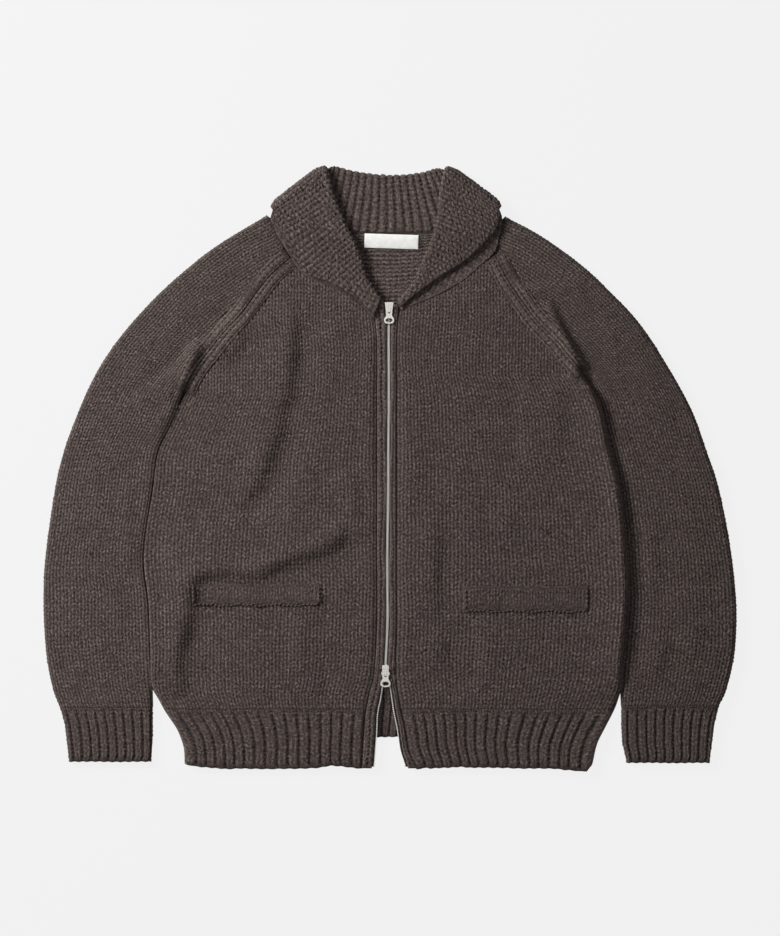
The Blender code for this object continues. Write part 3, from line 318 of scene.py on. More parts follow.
BAND_RISE, BAND_RISE_FROM, BAND_RISE_RUN = 2.4, 203.0, 20.0  # up to the collar's fall
BAND_SLANT_FROM, BAND_SLANT_X, BAND_SLANT = 213.0, -6.6, 0.92  # the right band's slanted end
WELT_ROUND = 2.6  # how far in a welt's edges are rounded
WELT_LOW, WELT_HIGHER = 0.3, 1.6  # its lower edge's height, and how much higher its mouth is
WELT_GAP, WELT_FOOT = 0.25, 0.2  # room under its face, and its inner face's height
WELT_STITCH, WELT_STITCH_LENGTH = 5.2, 4.9  # pitch and length of the welts' sewing
WELT_END_STITCHES = 4
LABEL_STITCH, LABEL_STITCH_LENGTH, LABEL_INSET = 2.3, 1.7, 1.3
# A stitch of sewing thread: place along it, then width and rise in radii.
THREAD = ((0, 0.35, -0.9), (0.18, 0.9, 0.1), (0.5, 1, 0.45), (0.82, 0.9, 0.1), (1, 0.35, -0.9))

# The stage, in metres and watts.
KEY_POWER, KEY_SIZE, KEY_PLACE = 118.0, 0.9, (-2.05, 1.2, 1.5)
TOP_POWER, TOP_SIZE, TOP_HEIGHT = 13.0, 1.5, 3.4
ROOM_LIGHT = 0.2
SENSOR = 36.0
CAMERA_HEIGHT, FRAME_HEIGHT, FRAME_MIDDLE_Y = 3.0, 1.2168, -0.0013
FLOOR_SIZE, FLOOR_HEIGHT = 8.0, -0.0004

SMOOTH_FACES = {}  # each front's face before its stitches, for what is laid on it


# --- curves and places ------------------------------------------------------------------------


def eased(t, start, start_slope, end, end_slope):
    """A cubic from start to end that leaves and arrives with the given slopes."""
    return ((2 * t**3 - 3 * t**2 + 1) * start + (t**3 - 2 * t**2 + t) * start_slope
            + (3 * t**2 - 2 * t**3) * end + (t**3 - t**2) * end_slope)


def along(points):
    """The smooth curve through the points, as a function of the point number."""
    points = np.array(points, float)
    slopes = np.gradient(points, axis=0)

    def at(place):
        place = np.clip(np.asarray(place, float), 0, len(points) - 1)
        k = np.minimum(place.astype(int), len(points) - 2)
        t = (place - k)[..., None]
        return eased(t, points[k], slopes[k], points[k + 1], slopes[k + 1])

    return at


def x_at(points):
    """x as a function of y along an edge whose y rises."""
    x, y = np.array(points, float).T
    slope = np.gradient(x, y)

    def at(height):
        height = np.clip(np.asarray(height, float), y[0], y[-1])
        k = np.clip(np.searchsorted(y, height, side="right") - 1, 0, len(y) - 2)
        h = y[k + 1] - y[k]
        t = (height - y[k]) / h
        return eased(t, x[k], h * slope[k], x[k + 1], h * slope[k + 1])

    return at


def smoothstep(t):
    """0 below 0 and 1 above 1, with a soft step between."""
    t = np.clip(t, 0, 1)
    return t * t * (3 - 2 * t)


def distance_to(line, x, y):
    """Distance in plan from each point to a line of straight pieces."""
    start, end = np.array(line[:-1], float), np.array(line[1:], float)
    run = end - start
    place = np.stack([np.asarray(x, float), np.asarray(y, float)], -1)[..., None, :]
    t = np.clip(((place - start) * run).sum(-1) / (run**2).sum(-1), 0, 1)
    return np.linalg.norm(place - (start + t[..., None] * run), axis=-1).min(-1)


def snug_start(y):
    """0 at the hem and 1 where body and sleeve have closed up."""
    return smoothstep((y - SNUG_FROM) / SNUG_RUN)


def snug(side, y):
    """How far body and sleeve move towards each other between the hem and the underarm."""
    y, underarm = np.asarray(y, float), BODY_SIDE[side][-1][1]
    return SNUG * snug_start(y) * smoothstep((underarm - y) / SNUG_END)


def snug_side(side):
    """The body's side edge, as a function of y, moved out to the sleeve."""
    sign = SIGN[side]
    edge = x_at(BODY_SIDE[side])
    return lambda y: edge(y) + sign * snug(side, y)


def crease_height(width, line, x, y):
    """Height of one crease, which steps down across its line and levels out on both sides."""
    start, run = line[:-1, :2], np.diff(line[:, :2], axis=0)
    place = np.stack([np.asarray(x, float), np.asarray(y, float)], -1)[..., None, :] - start
    t = np.clip((place * run).sum(-1) / (run**2).sum(-1), 0, 1)
    gap = np.linalg.norm(place - t[..., None] * run, axis=-1)
    right_hand = np.sign(run[:, 1] * place[..., 0] - run[:, 0] * place[..., 1])
    rise = line[:-1, 2] + t * np.diff(line[:, 2])
    nearest = gap.argmin(-1)[..., None]
    gap, right_hand, rise = (np.take_along_axis(values, nearest, -1)[..., 0]
                             for values in (gap, right_hand, rise))
    u = right_hand * gap / width
    return rise * (u + CREASE_UP) / (1 + u * u) * np.exp(-((gap / CREASE_REACH) ** 2))


BACK_NECK = np.array(COLLAR_BACK)[:, :2]
RISE_LINE = np.array([(-162, 336), *BACK_NECK, (152, 337)])
SIDE_X = {side: snug_side(side) for side in SIDES}
BAND_X = {side: x_at(points) for side, points in BAND_SEAM.items()}
CHAIN_X = {side: x_at(points) for side, points in CHAIN_EDGE.items()}
NECK_SEAM = {side: along(np.array(rows)[:, :2]) for side, rows in COLLAR_FRONT.items()}
SWELL_LINES = [(width, rise, along(line)(np.linspace(0, len(line) - 1, 12)))
               for width, rise, line in SWELLS]
CREASE_LINES = [(width, along(line)(np.linspace(0, len(line) - 1, 3 * len(line) - 2)))
                for width, line in CREASES]
NECK_LINES = {side: curve(np.linspace(0, len(COLLAR_FRONT[side]) - 1, 40))
              for side, curve in NECK_SEAM.items()}


def neck_rise(x, y, length=NECK_RISE_LENGTH):
    """How far the lower layer is lifted by the fall that is folded under the back neck."""
    near = smoothstep(1 - distance_to(RISE_LINE, x, y) / length)
    above = np.asarray(y) > np.interp(x, BACK_NECK[:, 0], BACK_NECK[:, 1], 1e3, 1e3)
    return NECK_RISE * np.where(above, 1.0, near)


def folds_map():
    """Swells, creases and unevenness of the upper layer, worked out once on a square raster."""
    columns = np.arange(-MAP_HALF_WIDTH, MAP_HALF_WIDTH + 1, MAP_STEP)
    rows = np.arange(-MAP_HALF_LENGTH, MAP_HALF_LENGTH + 1, MAP_STEP)
    x, y = np.meshgrid(columns, rows)
    height = np.zeros(x.shape)
    for width, rise, line in SWELL_LINES:
        height += rise * np.exp(-((distance_to(line, x, y) / width) ** 2))
    for width, line in CREASE_LINES:
        height += crease_height(width, line, x, y)
    field = np.random.default_rng(7).normal(size=x.shape)
    taps = np.exp(-((np.arange(-14, 15) * MAP_STEP / UNEVEN_SPREAD) ** 2) / 2)
    for axis in (0, 1):
        field = np.apply_along_axis(np.convolve, axis, field, taps, "same")
    return columns[0], rows[0], height + UNEVEN * field / field.std()


MAP_X, MAP_Y, FOLDS_MAP = folds_map()


def folds_at(x, y):
    """The folds' height at points in plan, between the raster's points."""
    column = np.clip((np.asarray(x, float) - MAP_X) / MAP_STEP, 0, FOLDS_MAP.shape[1] - 1.001)
    row = np.clip((np.asarray(y, float) - MAP_Y) / MAP_STEP, 0, FOLDS_MAP.shape[0] - 1.001)
    k, j = column.astype(int), row.astype(int)
    a, b = column - k, row - j
    return ((1 - a) * (1 - b) * FOLDS_MAP[j, k] + a * (1 - b) * FOLDS_MAP[j, k + 1]
            + (1 - a) * b * FOLDS_MAP[j + 1, k] + a * b * FOLDS_MAP[j + 1, k + 1])


def top_height(x, y):
    """Height of the upper layer's outer face: fronts and the sleeves' upper halves."""
    height = FRONT_TOP + folds_at(x, y)
    rise = neck_rise(x, y)
    to_neck = np.minimum(*(distance_to(line, x, y) for line in NECK_LINES.values()))
    at_neck = np.exp(-((to_neck / NECK_REACH) ** 2))
    height = height * (1 - at_neck) + (COLLAR_MID - ROLL_GAP + rise) * at_neck
    lowest = LOWEST_TOP + rise
    return lowest + SOFT_FLOOR * np.logaddexp(0, (height - lowest) / SOFT_FLOOR)


# --- stitches ---------------------------------------------------------------------------------

# How a stitch stands out of its cloth, across one wale and along one course: place and height.
# Heights are never above 0, so that the cloth stays within its own thickness.
STOCKING = {
    "across": ((0, -1.8), (0.25, 0), (0.5, -1.7), (0.75, 0), (1, -1.8)),
    "along": ((0, -0.7), (0.33, 0), (0.67, 0), (1, -0.7)),
    "columns": 4, "rows": 3, "slant": 3.0,
}
PURL = {
    "across": ((0, 0), (0.5, -0.35), (1, 0)),
    "along": ((0, -1.5), (0.33, 0), (0.67, 0), (1, -1.5)),
    "columns": 4, "rows": 3, "slant": -1.5,
}
RIB = {
    "across": ((0, -2.5), (0.125, -1.1), (0.25, -0.15), (0.375, 0), (0.5, -0.9), (0.625, 0),
               (0.75, -0.15), (0.875, -1.1), (1, -2.5)),
    "along": ((0, -0.6), (0.33, 0), (0.67, 0), (1, -0.6)),
    "columns": 8, "rows": 3, "slant": 2.4,
}
RIB_START = {  # the two wales from which each rib grows
    "across": ((0, -1.7), (0.125, 0), (0.25, -1.6), (0.375, 0), (0.5, -1.7), (0.625, 0),
               (0.75, -1.6), (0.875, 0), (1, -1.7)),
    "along": ((0, -0.7), (0.33, 0), (0.67, 0), (1, -0.7)),
}
COLLAR_RIB = {
    "across": ((0, -1.8), (0.17, -0.8), (0.33, 0), (0.5, -0.2), (0.67, 0), (0.83, -0.8), (1, -1.8)),
    "along": ((0, -0.7), (0.25, 0), (0.5, 0.0), (0.75, -0.1), (1, -0.7)),
    "columns": 6, "rows": 4, "slant": 1.4,
}
BEADS = {  # the same rib spread flat, its stitches standing out as staggered beads
    "across": ((0, -1.3), (0.17, 0), (0.33, 0), (0.5, -1.3), (0.67, 0), (0.83, 0), (1, -1.3)),
    "along": ((0, -1.3), (0.25, -0.1), (0.5, 0.0), (0.75, -0.1), (1, -1.3)),
    "stagger": 0.5,
}
BORDER = {
    "across": ((0, -2.2), (0.25, -0.2), (0.5, -0.7), (0.75, -0.2), (1, -2.2)),
    "along": ((0, -0.9), (0.33, 0), (0.67, 0), (1, -0.9)),
    "columns": 4, "rows": 3, "slant": 3.6,
}
BACK_STOCKING = {**STOCKING, "rows": 2, "along": ((0, -0.6), (0.5, 0), (1, -0.6))}
# The height in its stitch sets the painted shade of a plain inner face.
INNER_HEIGHT = 0.4  # height in its stitch that the shading of a plain inner face takes
END_STEP = 0.07  # place of the row added close to a shell's end, in rows
FREE_FADE = 0.35  # share of a wale over which the stitches fade at a free side
FREE_SINK = 0.75  # share of the stitches' depth by which a free side draws in
RIB_START_LENGTH = 13.0  # over which the wales gather into ribs
RIB_BOW, RIB_WANDER = 0.4, 0.3  # how far each rib's end bows down, and how unevenly
SINK = 2.2  # how far a panel lies lower under its raglan border
BORDER_COURSE = 1.25  # height of a border's stitch, in courses of the panel
BORDER_OVER = 0.35  # how far a border stands over its panel besides its lift
BORDER_WALL = 3.4
CUFF_SLOPE = 0.012  # how the cuffs thin towards their ends
COLLAR_WALE, BAND_WALE = 9.0, 7.0
BEADS_FROM, BEADS_SHOULDER, BEADS_RUN = 30.0, 36.0, 18.0  # where the rib spreads, from the roll
BACK_COARSE = (8, 6)  # rows and columns left out where nothing of the back's inside shows
NECK_SHOWS = (92, 165)  # half-width and lowest y of what the neck shows of it
# Painted shade: the ribs' and the collar's wool is coloured darker than the plain knit's.
RIB_SHADE, COLLAR_SHADE = 0.74, 0.86  # the ribs hold more shade than the plain knit
WOOL_LOOK = ("#2b2422", "#4c423f", "#7a6f6a")  # dark, middle and pale fibres


def hidden_teeth(y):
    """How far the bands close over the zip's teeth at a height, from 0 to 1."""
    return max(shut * math.exp(-(((y - middle) / half) ** 4)) for middle, half, shut in HIDDEN_TEETH)


def beside_slider(name, y):
    """1 beside a slider and 0 away from it."""
    return float(np.exp(-(((y - SLIDER_Y[name]) / SLIDER_NEAR) ** 4)))


def pattern_places(grid, stitch, wale, course, start=0.0):
    """Where each point of a grid lies in the knit, in centimetres across and along."""
    u = (np.arange(grid.shape[1]) / stitch["columns"] + start) * wale / 10
    v = np.arange(grid.shape[0]) / stitch["rows"] * course / 10
    return np.stack(np.broadcast_arrays(u[None], v[:, None]), -1)


def inside_rows(grid):
    """Rows and columns of the back's inside face: all of them where the neck shows it."""
    y, x = grid[:, grid.shape[1] // 2, 1], grid[grid.shape[0] // 2, :, 0]
    half_width, lowest = NECK_SHOWS
    rows = [j for j in range(len(y))
            if y[j] > lowest or j % BACK_COARSE[0] == 0 or j == len(y) - 1]
    columns = [k for k in range(len(x))
               if abs(x[k]) < half_width or k % BACK_COARSE[1] == 0 or k == len(x) - 1]
    return rows, columns


def profile_cells(profile):
    """Arc length along one row of points, in millimetres."""
    steps = np.linalg.norm(np.diff(profile[:, :3], axis=0), axis=1)
    return np.concatenate([[0], np.cumsum(steps)])


def measured(profiles):
    """Arc lengths along each row, and every row's whole length."""
    lengths = [profile_cells(profile) for profile in profiles]
    return lengths, np.array([length[-1] for length in lengths])


def lay_out(profiles, lengths, places):
    """The cloth's points and normals at places along each row, and how far in from its ends."""
    grid = np.empty((*places.shape, 6))
    for j, (profile, length) in enumerate(zip(profiles, lengths)):
        for c in range(6):
            grid[j, :, c] = np.interp(places[j], length, profile[:, c])
    first, last = np.array([(length[0], length[-1]) for length in lengths]).T[..., None]
    return grid, np.minimum(places - first, last - places)


def relief(pattern, phase, turn):
    """Height of a stitch pattern at places across its wales and along its courses."""
    phase, turn = phase[None] % 1.0, turn[:, None]
    if "stagger" in pattern:
        turn = turn + pattern["stagger"] * (phase >= 0.5)
    across = np.interp(phase, *np.array(pattern["across"]).T)
    return across + np.interp(turn % 1.0, *np.array(pattern["along"]).T)


def unevenness(phase, turn, stitch):
    """How far the stitches slide along and across their wales and stand up, as in hand knitting.

    Courses and wales wander slowly, and each stitch has a little of its own.
    """
    j, i = phase[None], turn[:, None]
    inside = np.clip(np.minimum(j - phase[0], phase[-1] - j), 0, 1)
    wave = 0.7 * np.sin(0.22 * j + 1.3 * np.sin(0.05 * i)) + 0.5 * np.sin(0.52 * j - 0.12 * i)
    bend = 0.4 * np.sin(0.11 * i + 1.1 * np.sin(0.24 * j)) + 0.25 * np.sin(0.33 * i + 0.2 * j)
    own = np.random.default_rng(11).normal(size=(3, int(turn[-1]) + 2, int(phase[-1]) + 2))
    own = own[:, turn.astype(int)][:, :, phase.astype(int)]
    bell = np.sin(math.pi * (i % 1.0)) * np.sin(math.pi * (j % 1.0))
    slide = (wave + OWN_SLIDE * own[0] * bell) * inside * stitch["rows"] / 3
    sway = (bend + OWN_SWAY * own[1] * bell) * inside * stitch["columns"] / 4
    return slide, sway, OWN_STAND * (own[2] - 1.2) * bell * inside


def knitted(grid, room, stitch, wale, course, start=0.0, fade=(True, True), other=None,
            share=0.0, sink=0.0):
    """The outer face with its stitches standing out, and each point's height in its stitch.

    The stitches fade at free edges. Where share is above 0 they change to the other pattern.
    """
    rows, columns = grid.shape[:2]
    phase = np.arange(columns) / stitch["columns"] + start
    turn = np.arange(rows) / stitch["rows"]
    numbers = np.arange(rows)
    edge = np.ones(rows)
    for from_end, fades in ((numbers, fade[0]), (rows - 1 - numbers, fade[1])):
        if fades:
            edge = np.minimum(edge, np.clip(from_end / stitch["rows"], 0, 1))
    free = np.clip(room / (FREE_FADE * wale), 0, 1) * edge[:, None]
    lift = stitch["slant"] / course * stitch["rows"] * (np.abs(2 * (phase % 1.0) - 1) - 0.5)
    slide, sway, stand = unevenness(phase, turn, stitch)
    free_inside = free * taper(rows, stitch["rows"])[:, None]
    place = np.clip(numbers[:, None] + (lift[None] + slide) * free_inside, 0, rows - 1.001)
    beside = np.clip(np.arange(columns)[None] + sway * free_inside, 0, columns - 1.001)
    low, left = place.astype(int), beside.astype(int)
    part, other_part = (place - low)[..., None], (beside - left)[..., None]
    moved = ((grid[low, left] * (1 - part) + grid[low + 1, left] * part) * (1 - other_part)
             + (grid[low, left + 1] * (1 - part) + grid[low + 1, left + 1] * part) * other_part)
    height = relief(stitch, phase, turn)
    if other:
        height = height * (1 - share) + relief(other, phase, turn) * share
    height = height + stand
    deepest = min(z for _, z in stitch["across"]) + min(z for _, z in stitch["along"])
    height = height * free + FREE_SINK * deepest * (1 - free) * np.abs(moved[..., 5]) ** 3
    stands = moved[..., :3] + (height - sink)[..., None] * moved[..., 3:]
    return stands, np.clip(1 - height / deepest, 0, 1)


def corners(first, second):
    """Triangles between two rows of point numbers that may hold different numbers of them."""
    faces = []
    i = j = 0
    while i < len(first) - 1 or j < len(second) - 1:
        if (i + 1) * (len(second) - 1) <= (j + 1) * (len(first) - 1):
            faces.append((first[i], first[i + 1], second[j]))
            i += 1
        else:
            faces.append((first[i], second[j + 1], second[j]))
            j += 1
    return faces


def taper(count, reach):
    """0 at the first and last of the numbers below count, and 1 beyond the reach of either."""
    number = np.arange(count)
    return np.clip(np.minimum(number, count - 1 - number) / reach, 0, 1)


def squares(grid):
    """The four corners of every square between a grid's points."""
    return np.stack([grid[:-1, :-1], grid[:-1, 1:], grid[1:, 1:], grid[1:, :-1]], -1).reshape(-1, 4)


def shell(grids, heights, marks, ends=True, sides=True, under=None):
    """One closed cloth between an outer and an inner grid: points, faces, heights and places.

    The inner face has no stitches unless under gives their heights.
    """
    outer, inner = grids
    a = np.arange(outer[..., 0].size).reshape(outer.shape[:2])
    b = np.arange(inner[..., 0].size).reshape(inner.shape[:2]) + a.size
    faces = [tuple(f) for f in squares(a)] + [tuple(f[::-1]) for f in squares(b)]
    if ends:
        for row in (0, -1):
            faces += corners(a[row], b[row])
    if sides:
        for column in (0, -1):
            faces += corners(a[:, column], b[:, column])
    points = np.concatenate([outer.reshape(-1, 3), inner.reshape(-1, 3)])
    inner_heights = np.full(b.size, INNER_HEIGHT) if under is None else under.ravel()
    height = np.concatenate([heights.ravel(), inner_heights])
    places = np.concatenate([marks[0].reshape(-1, 2), marks[1].reshape(-1, 2)])
    return points, faces, height, places


def placed_object(name, data):
    """A new object in the scene."""
    made = bpy.data.objects.new(name, data)
    bpy.context.scene.collection.objects.link(made)
    return made


def cloth_object(name, parts, material):
    """One piece from closed shells, with points that meet joined and empty faces dropped."""
    all_points, all_faces, all_heights, all_places = [], [], [], []
    count = 0
    for points, faces, height, places in parts:
        keys = np.round(points * 20).astype(np.int64)
        _, keep, to = np.unique(keys, axis=0, return_index=True, return_inverse=True)
        to = to.ravel()
        for sides in sorted({len(face) for face in faces}):
            rings = to[np.array([face for face in faces if len(face) == sides])]
            ordered = np.sort(rings, axis=1)
            whole = (ordered[:, 1:] != ordered[:, :-1]).all(axis=1)
            all_faces += (rings[whole] + count).tolist()
            for ring in rings[~whole].tolist():
                ring = list(dict.fromkeys(ring))
                if len(ring) > 2:
                    all_faces.append([number + count for number in ring])
        all_points.append(points[keep])
        all_heights.append(height[keep])
        all_places.append(places[keep])
        count += len(keep)
    points = np.concatenate(all_points) * MM
    mesh = bpy.data.meshes.new(name)
    mesh.from_pydata(points.tolist(), [], all_faces)
    mesh.validate()
    form = bmesh.new()
    form.from_mesh(mesh)
    bmesh.ops.recalc_face_normals(form, faces=form.faces)
    form.to_mesh(mesh)
    form.free()
    mesh.shade_smooth()
    # Each point's height in its stitch, which the wool material reads to paint shade into the
    # hollows.
    mesh.attributes.new("height", "FLOAT", "POINT").data.foreach_set(
        "value", np.concatenate(all_heights).astype(np.float32))
    corner = np.empty(len(mesh.loops), np.int32)
    mesh.loops.foreach_get("vertex_index", corner)
    layer = mesh.uv_layers.new(name="knit")
    layer.data.foreach_set("uv", np.concatenate(all_places)[corner].astype(np.float32).ravel())
    mesh.materials.append(material)
    return placed_object(name, mesh)


def every(step, count):
    """Every so many of the numbers below count, and the last."""
    return sorted({*range(0, count, step), count - 1})


def firm_ends(values):
    """Adds a row close to either end, so that the ends' shading does not bleed inwards."""
    first = values[:1] + END_STEP * (values[1:2] - values[:1])
    last = values[-1:] + END_STEP * (values[-2:-1] - values[-1:])
    return np.concatenate([values[:1], first, values[1:-1], last, values[-1:]])


def knit_shell(grid, room, stitch, wale, course, wall=KNIT, start=0.0, coarse=(9, 8),
               ends=True, sides=True, **how):
    """Stitches outside and a plain inner face, closed round the edges."""
    outer, height = knitted(grid, room, stitch, wale, course, start, **how)
    picked = np.ix_(every(coarse[0], grid.shape[0]), every(coarse[1], grid.shape[1]))
    inner = grid[picked][..., :3] - wall * grid[picked][..., 3:]
    places = pattern_places(grid, stitch, wale, course, start)
    return shell((firm_ends(outer), inner), firm_ends(height), (firm_ends(places), places[picked]),
                 ends, sides)


# --- fronts -----------------------------------------------------------------------------------


def raglan_x(line):
    """x, and the raglan's point number, as functions of y along a raglan seam."""
    points = along(line)(np.linspace(0, RAGLAN_LAST, 161))
    numbers = np.linspace(0, RAGLAN_LAST, 161)
    return lambda y: (np.interp(y, points[:, 1], points[:, 0]), np.interp(y, points[:, 1], numbers))


def side_roll(side, y):
    """How far a body or sleeve edge rolls under: half where the two abut, fully elsewhere."""
    return 1 - HALF_ROLL[side] * float(smoothstep((y - ROLL_FROM) / ROLL_RUN))


def front_edges(side, y):
    """Zip edge, outer edge and roll of a front at one height on the page."""
    sign = SIGN[side]
    neck = NECK_LINES[side]
    v_point = neck[0, 1] - 1
    zip_x = float(BAND_X[side](min(y, v_point))) + sign * SEAM / 2
    inner_x = zip_x
    if y > v_point:
        order = np.argsort(neck[:, 1])
        inner_x = float(np.interp(y, neck[order, 1], neck[order, 0])) + sign * 2 * SEAM
    if y < RAGLAN_FRONT[side][0][1]:
        return zip_x, inner_x, float(SIDE_X[side](y)), side_roll(side, y)
    outer_x, number = raglan_x(RAGLAN_FRONT[side])(y)
    roll = max(0.0, 1 - float(number) / 2) * side_roll(side, y)
    return zip_x, inner_x, float(outer_x) - sign * SEAM / 2, roll


def rolled_edge(edge, inward, top, foot, roll, reach=None, steps=8):
    """The last points of a layer whose edge rolls down to its foot, and their outward normals."""
    angles = np.linspace(0, math.pi / 2, steps + 1)
    radius = top - foot
    reach = reach or radius
    back = reach * (roll * (1 - np.sin(angles)) + (1 - roll) * (1 - angles / (math.pi / 2)))
    points = np.empty((steps + 1, 3))
    points[:, :2] = edge + np.outer(back, inward)
    points[:, 2] = top - roll * radius * (1 - np.cos(angles))
    normals = np.empty((steps + 1, 3))
    normals[:, :2] = -np.outer(roll * np.sin(angles), inward)
    normals[:, 2] = 1 - roll + roll * np.cos(angles) * reach / radius
    return points, normals / np.linalg.norm(normals, axis=1, keepdims=True)


def front_row(side_edge, zip_edge, roll, columns=72):
    """Points and normals across a front from its zip side to its side edge."""
    side_edge, zip_edge = np.array(side_edge, float), np.array(zip_edge, float)
    run = zip_edge - side_edge
    length = max(np.linalg.norm(run), 1e-6)
    inward = run / length
    top = float(top_height(*(side_edge + HEIGHT_IN * inward)))
    foot = max(SIDE_FOOT, top - length / 3)
    reach = min(top - foot, EDGE_REACH)
    edge, edge_normals = rolled_edge(side_edge, inward, top, foot, roll, reach)
    start = side_edge + inward * reach
    flat = zip_edge + np.linspace(0, 1, columns)[:-1, None] * (start - zip_edge)
    near = np.exp(-np.linalg.norm(flat - start, axis=1) / HEIGHT_EASE)
    height = top_height(*flat.T)
    height += near * (top - height) * (1 if roll == 1 else roll)
    if roll < 1:
        edge[:, 2] += (1 - roll) * (top_height(edge[:, 0], edge[:, 1]) - edge[:, 2])
    points = np.concatenate([np.column_stack([flat, height]), edge])
    normals = np.concatenate([np.tile([0, 0, 1.0], (columns - 1, 1)), edge_normals])
    return np.column_stack([points, normals])


def front_grid(side, stitch, wale, course):
    """The front's smooth outer face, with its wales upright and cut off by raglan and neck."""
    sign = SIGN[side]
    underarm = RAGLAN_FRONT[side][0][1]
    neck_at = NECK_SEAM[side](RAGLAN_AT_NECK[side])
    low = HEM_SEAM + SEAM / 2
    rows = int((neck_at[1] - low) / course * stitch["rows"])
    heights = np.linspace(low, neck_at[1] - 0.6, rows)
    profiles, lengths = [], []
    for y in heights:
        zip_x, inner_x, outer_x, roll = front_edges(side, y)
        inner_x = sign * min(sign * inner_x, sign * outer_x - 0.4)
        profile = front_row((outer_x, y), (inner_x, y), roll)
        profiles.append(profile)
        lengths.append(profile_cells(profile) + abs(inner_x - zip_x))
    widths = np.array([length[-1] for length in lengths])
    at_underarm = float(np.interp(underarm, heights, widths))
    count = round(at_underarm / wale)
    spacing = np.where(heights < underarm, widths, at_underarm) / (count * stitch["columns"])
    places = spacing[:, None] * np.arange(count * stitch["columns"] + 1)[None]
    return lay_out(profiles, lengths, places)


# --- back -------------------------------------------------------------------------------------


def back_rows(course, rows_each):
    """Rows of plan points across the back, from its arched hem seam to the neck."""
    columns = np.linspace(0, 1, 121)
    arch = BACK_HEM_ARCH * (1 - (2 * columns - 1) ** 2)
    right_low = BACK_HEM_ENDS + BACK_HEM_HEIGHT
    underarm = {side: RAGLAN_BACK[side][0][1] for side in SIDES}
    below = int((underarm["right"] - right_low) / course * rows_each)
    rows = []
    for share in np.linspace(0, 1, below, endpoint=False):
        right_y = right_low + share * (underarm["right"] - right_low)
        left_y = right_low + share * (underarm["left"] - right_low)
        right_x, left_x = (SIDE_X[side](y) - SIGN[side] * (1 - (1 + BACK_OUT) * snug_start(y))
                           for side, y in zip(SIDES, (right_y, left_y)))
        x = right_x + (left_x - right_x) * columns
        y = right_y + (left_y - right_y) * columns + arch * (1 - share) ** 2 + SEAM / 2
        rows.append((np.column_stack([x, y]), True))
    neck = along(BACK_NECK)(np.linspace(1, 7, 121)) - (0, 2 * SEAM)
    seams = {side: along(RAGLAN_BACK[side]) for side in SIDES}
    long = np.linalg.norm(seams["right"](RAGLAN_LAST) - seams["right"](0))
    right, left = (seams[side](NECK_FROM) for side in SIDES)
    last = right + np.outer(columns, left - right)
    for k in np.linspace(0, RAGLAN_LAST, int(0.83 * long / course * rows_each)):
        under = 0.2 - (0.2 + BACK_OUT) * max(0.0, 1 - k / 1.5)
        right, left = seams["right"](k) + (under, 0), seams["left"](k) - (under, 0)
        row = right + np.outer(columns, left - right)
        if k > NECK_FROM:
            row = last + (k - NECK_FROM) * (neck - last)
            row[[0, -1]] = right, left
        rows.append((row, False))
    return rows


def back_grids(stitch, wale, course):
    """The back's under face, and the finer inside face where the neck shows it."""
    made = {}
    for face, (pattern, height, normal) in {
        "under": (stitch, 0.0, -1.0), "inside": (PURL, KNIT, 1.0),
    }.items():
        plans, below = zip(*back_rows(course, pattern["rows"]))
        profiles = [np.column_stack([plan, neck_rise(*plan.T) + height, np.zeros((len(plan), 2)),
                                     np.full(len(plan), normal)]) for plan in plans]
        lengths, widths = measured(profiles)
        at_underarm = widths[below.index(False)]
        half = round(at_underarm / wale / 2) * pattern["columns"]
        spacing = np.where(below, widths, at_underarm) / (2 * half)
        centred = [length - length[-1] / 2 for length in lengths]
        places = spacing[:, None] * np.arange(-half, half + 1)[None]
        made[face] = lay_out(profiles, centred, places)
    return made


# --- sleeves ----------------------------------------------------------------------------------


def seam_beside(curve, places, gap):
    """Points beside a seam curve, moved by the gap to its left."""
    points = curve(places)
    run = curve(np.add(places, 0.05)) - curve(np.subtract(places, 0.05))
    across = np.stack([-run[..., 1], run[..., 0]], -1)
    return points + gap * across / np.linalg.norm(across, axis=-1, keepdims=True)


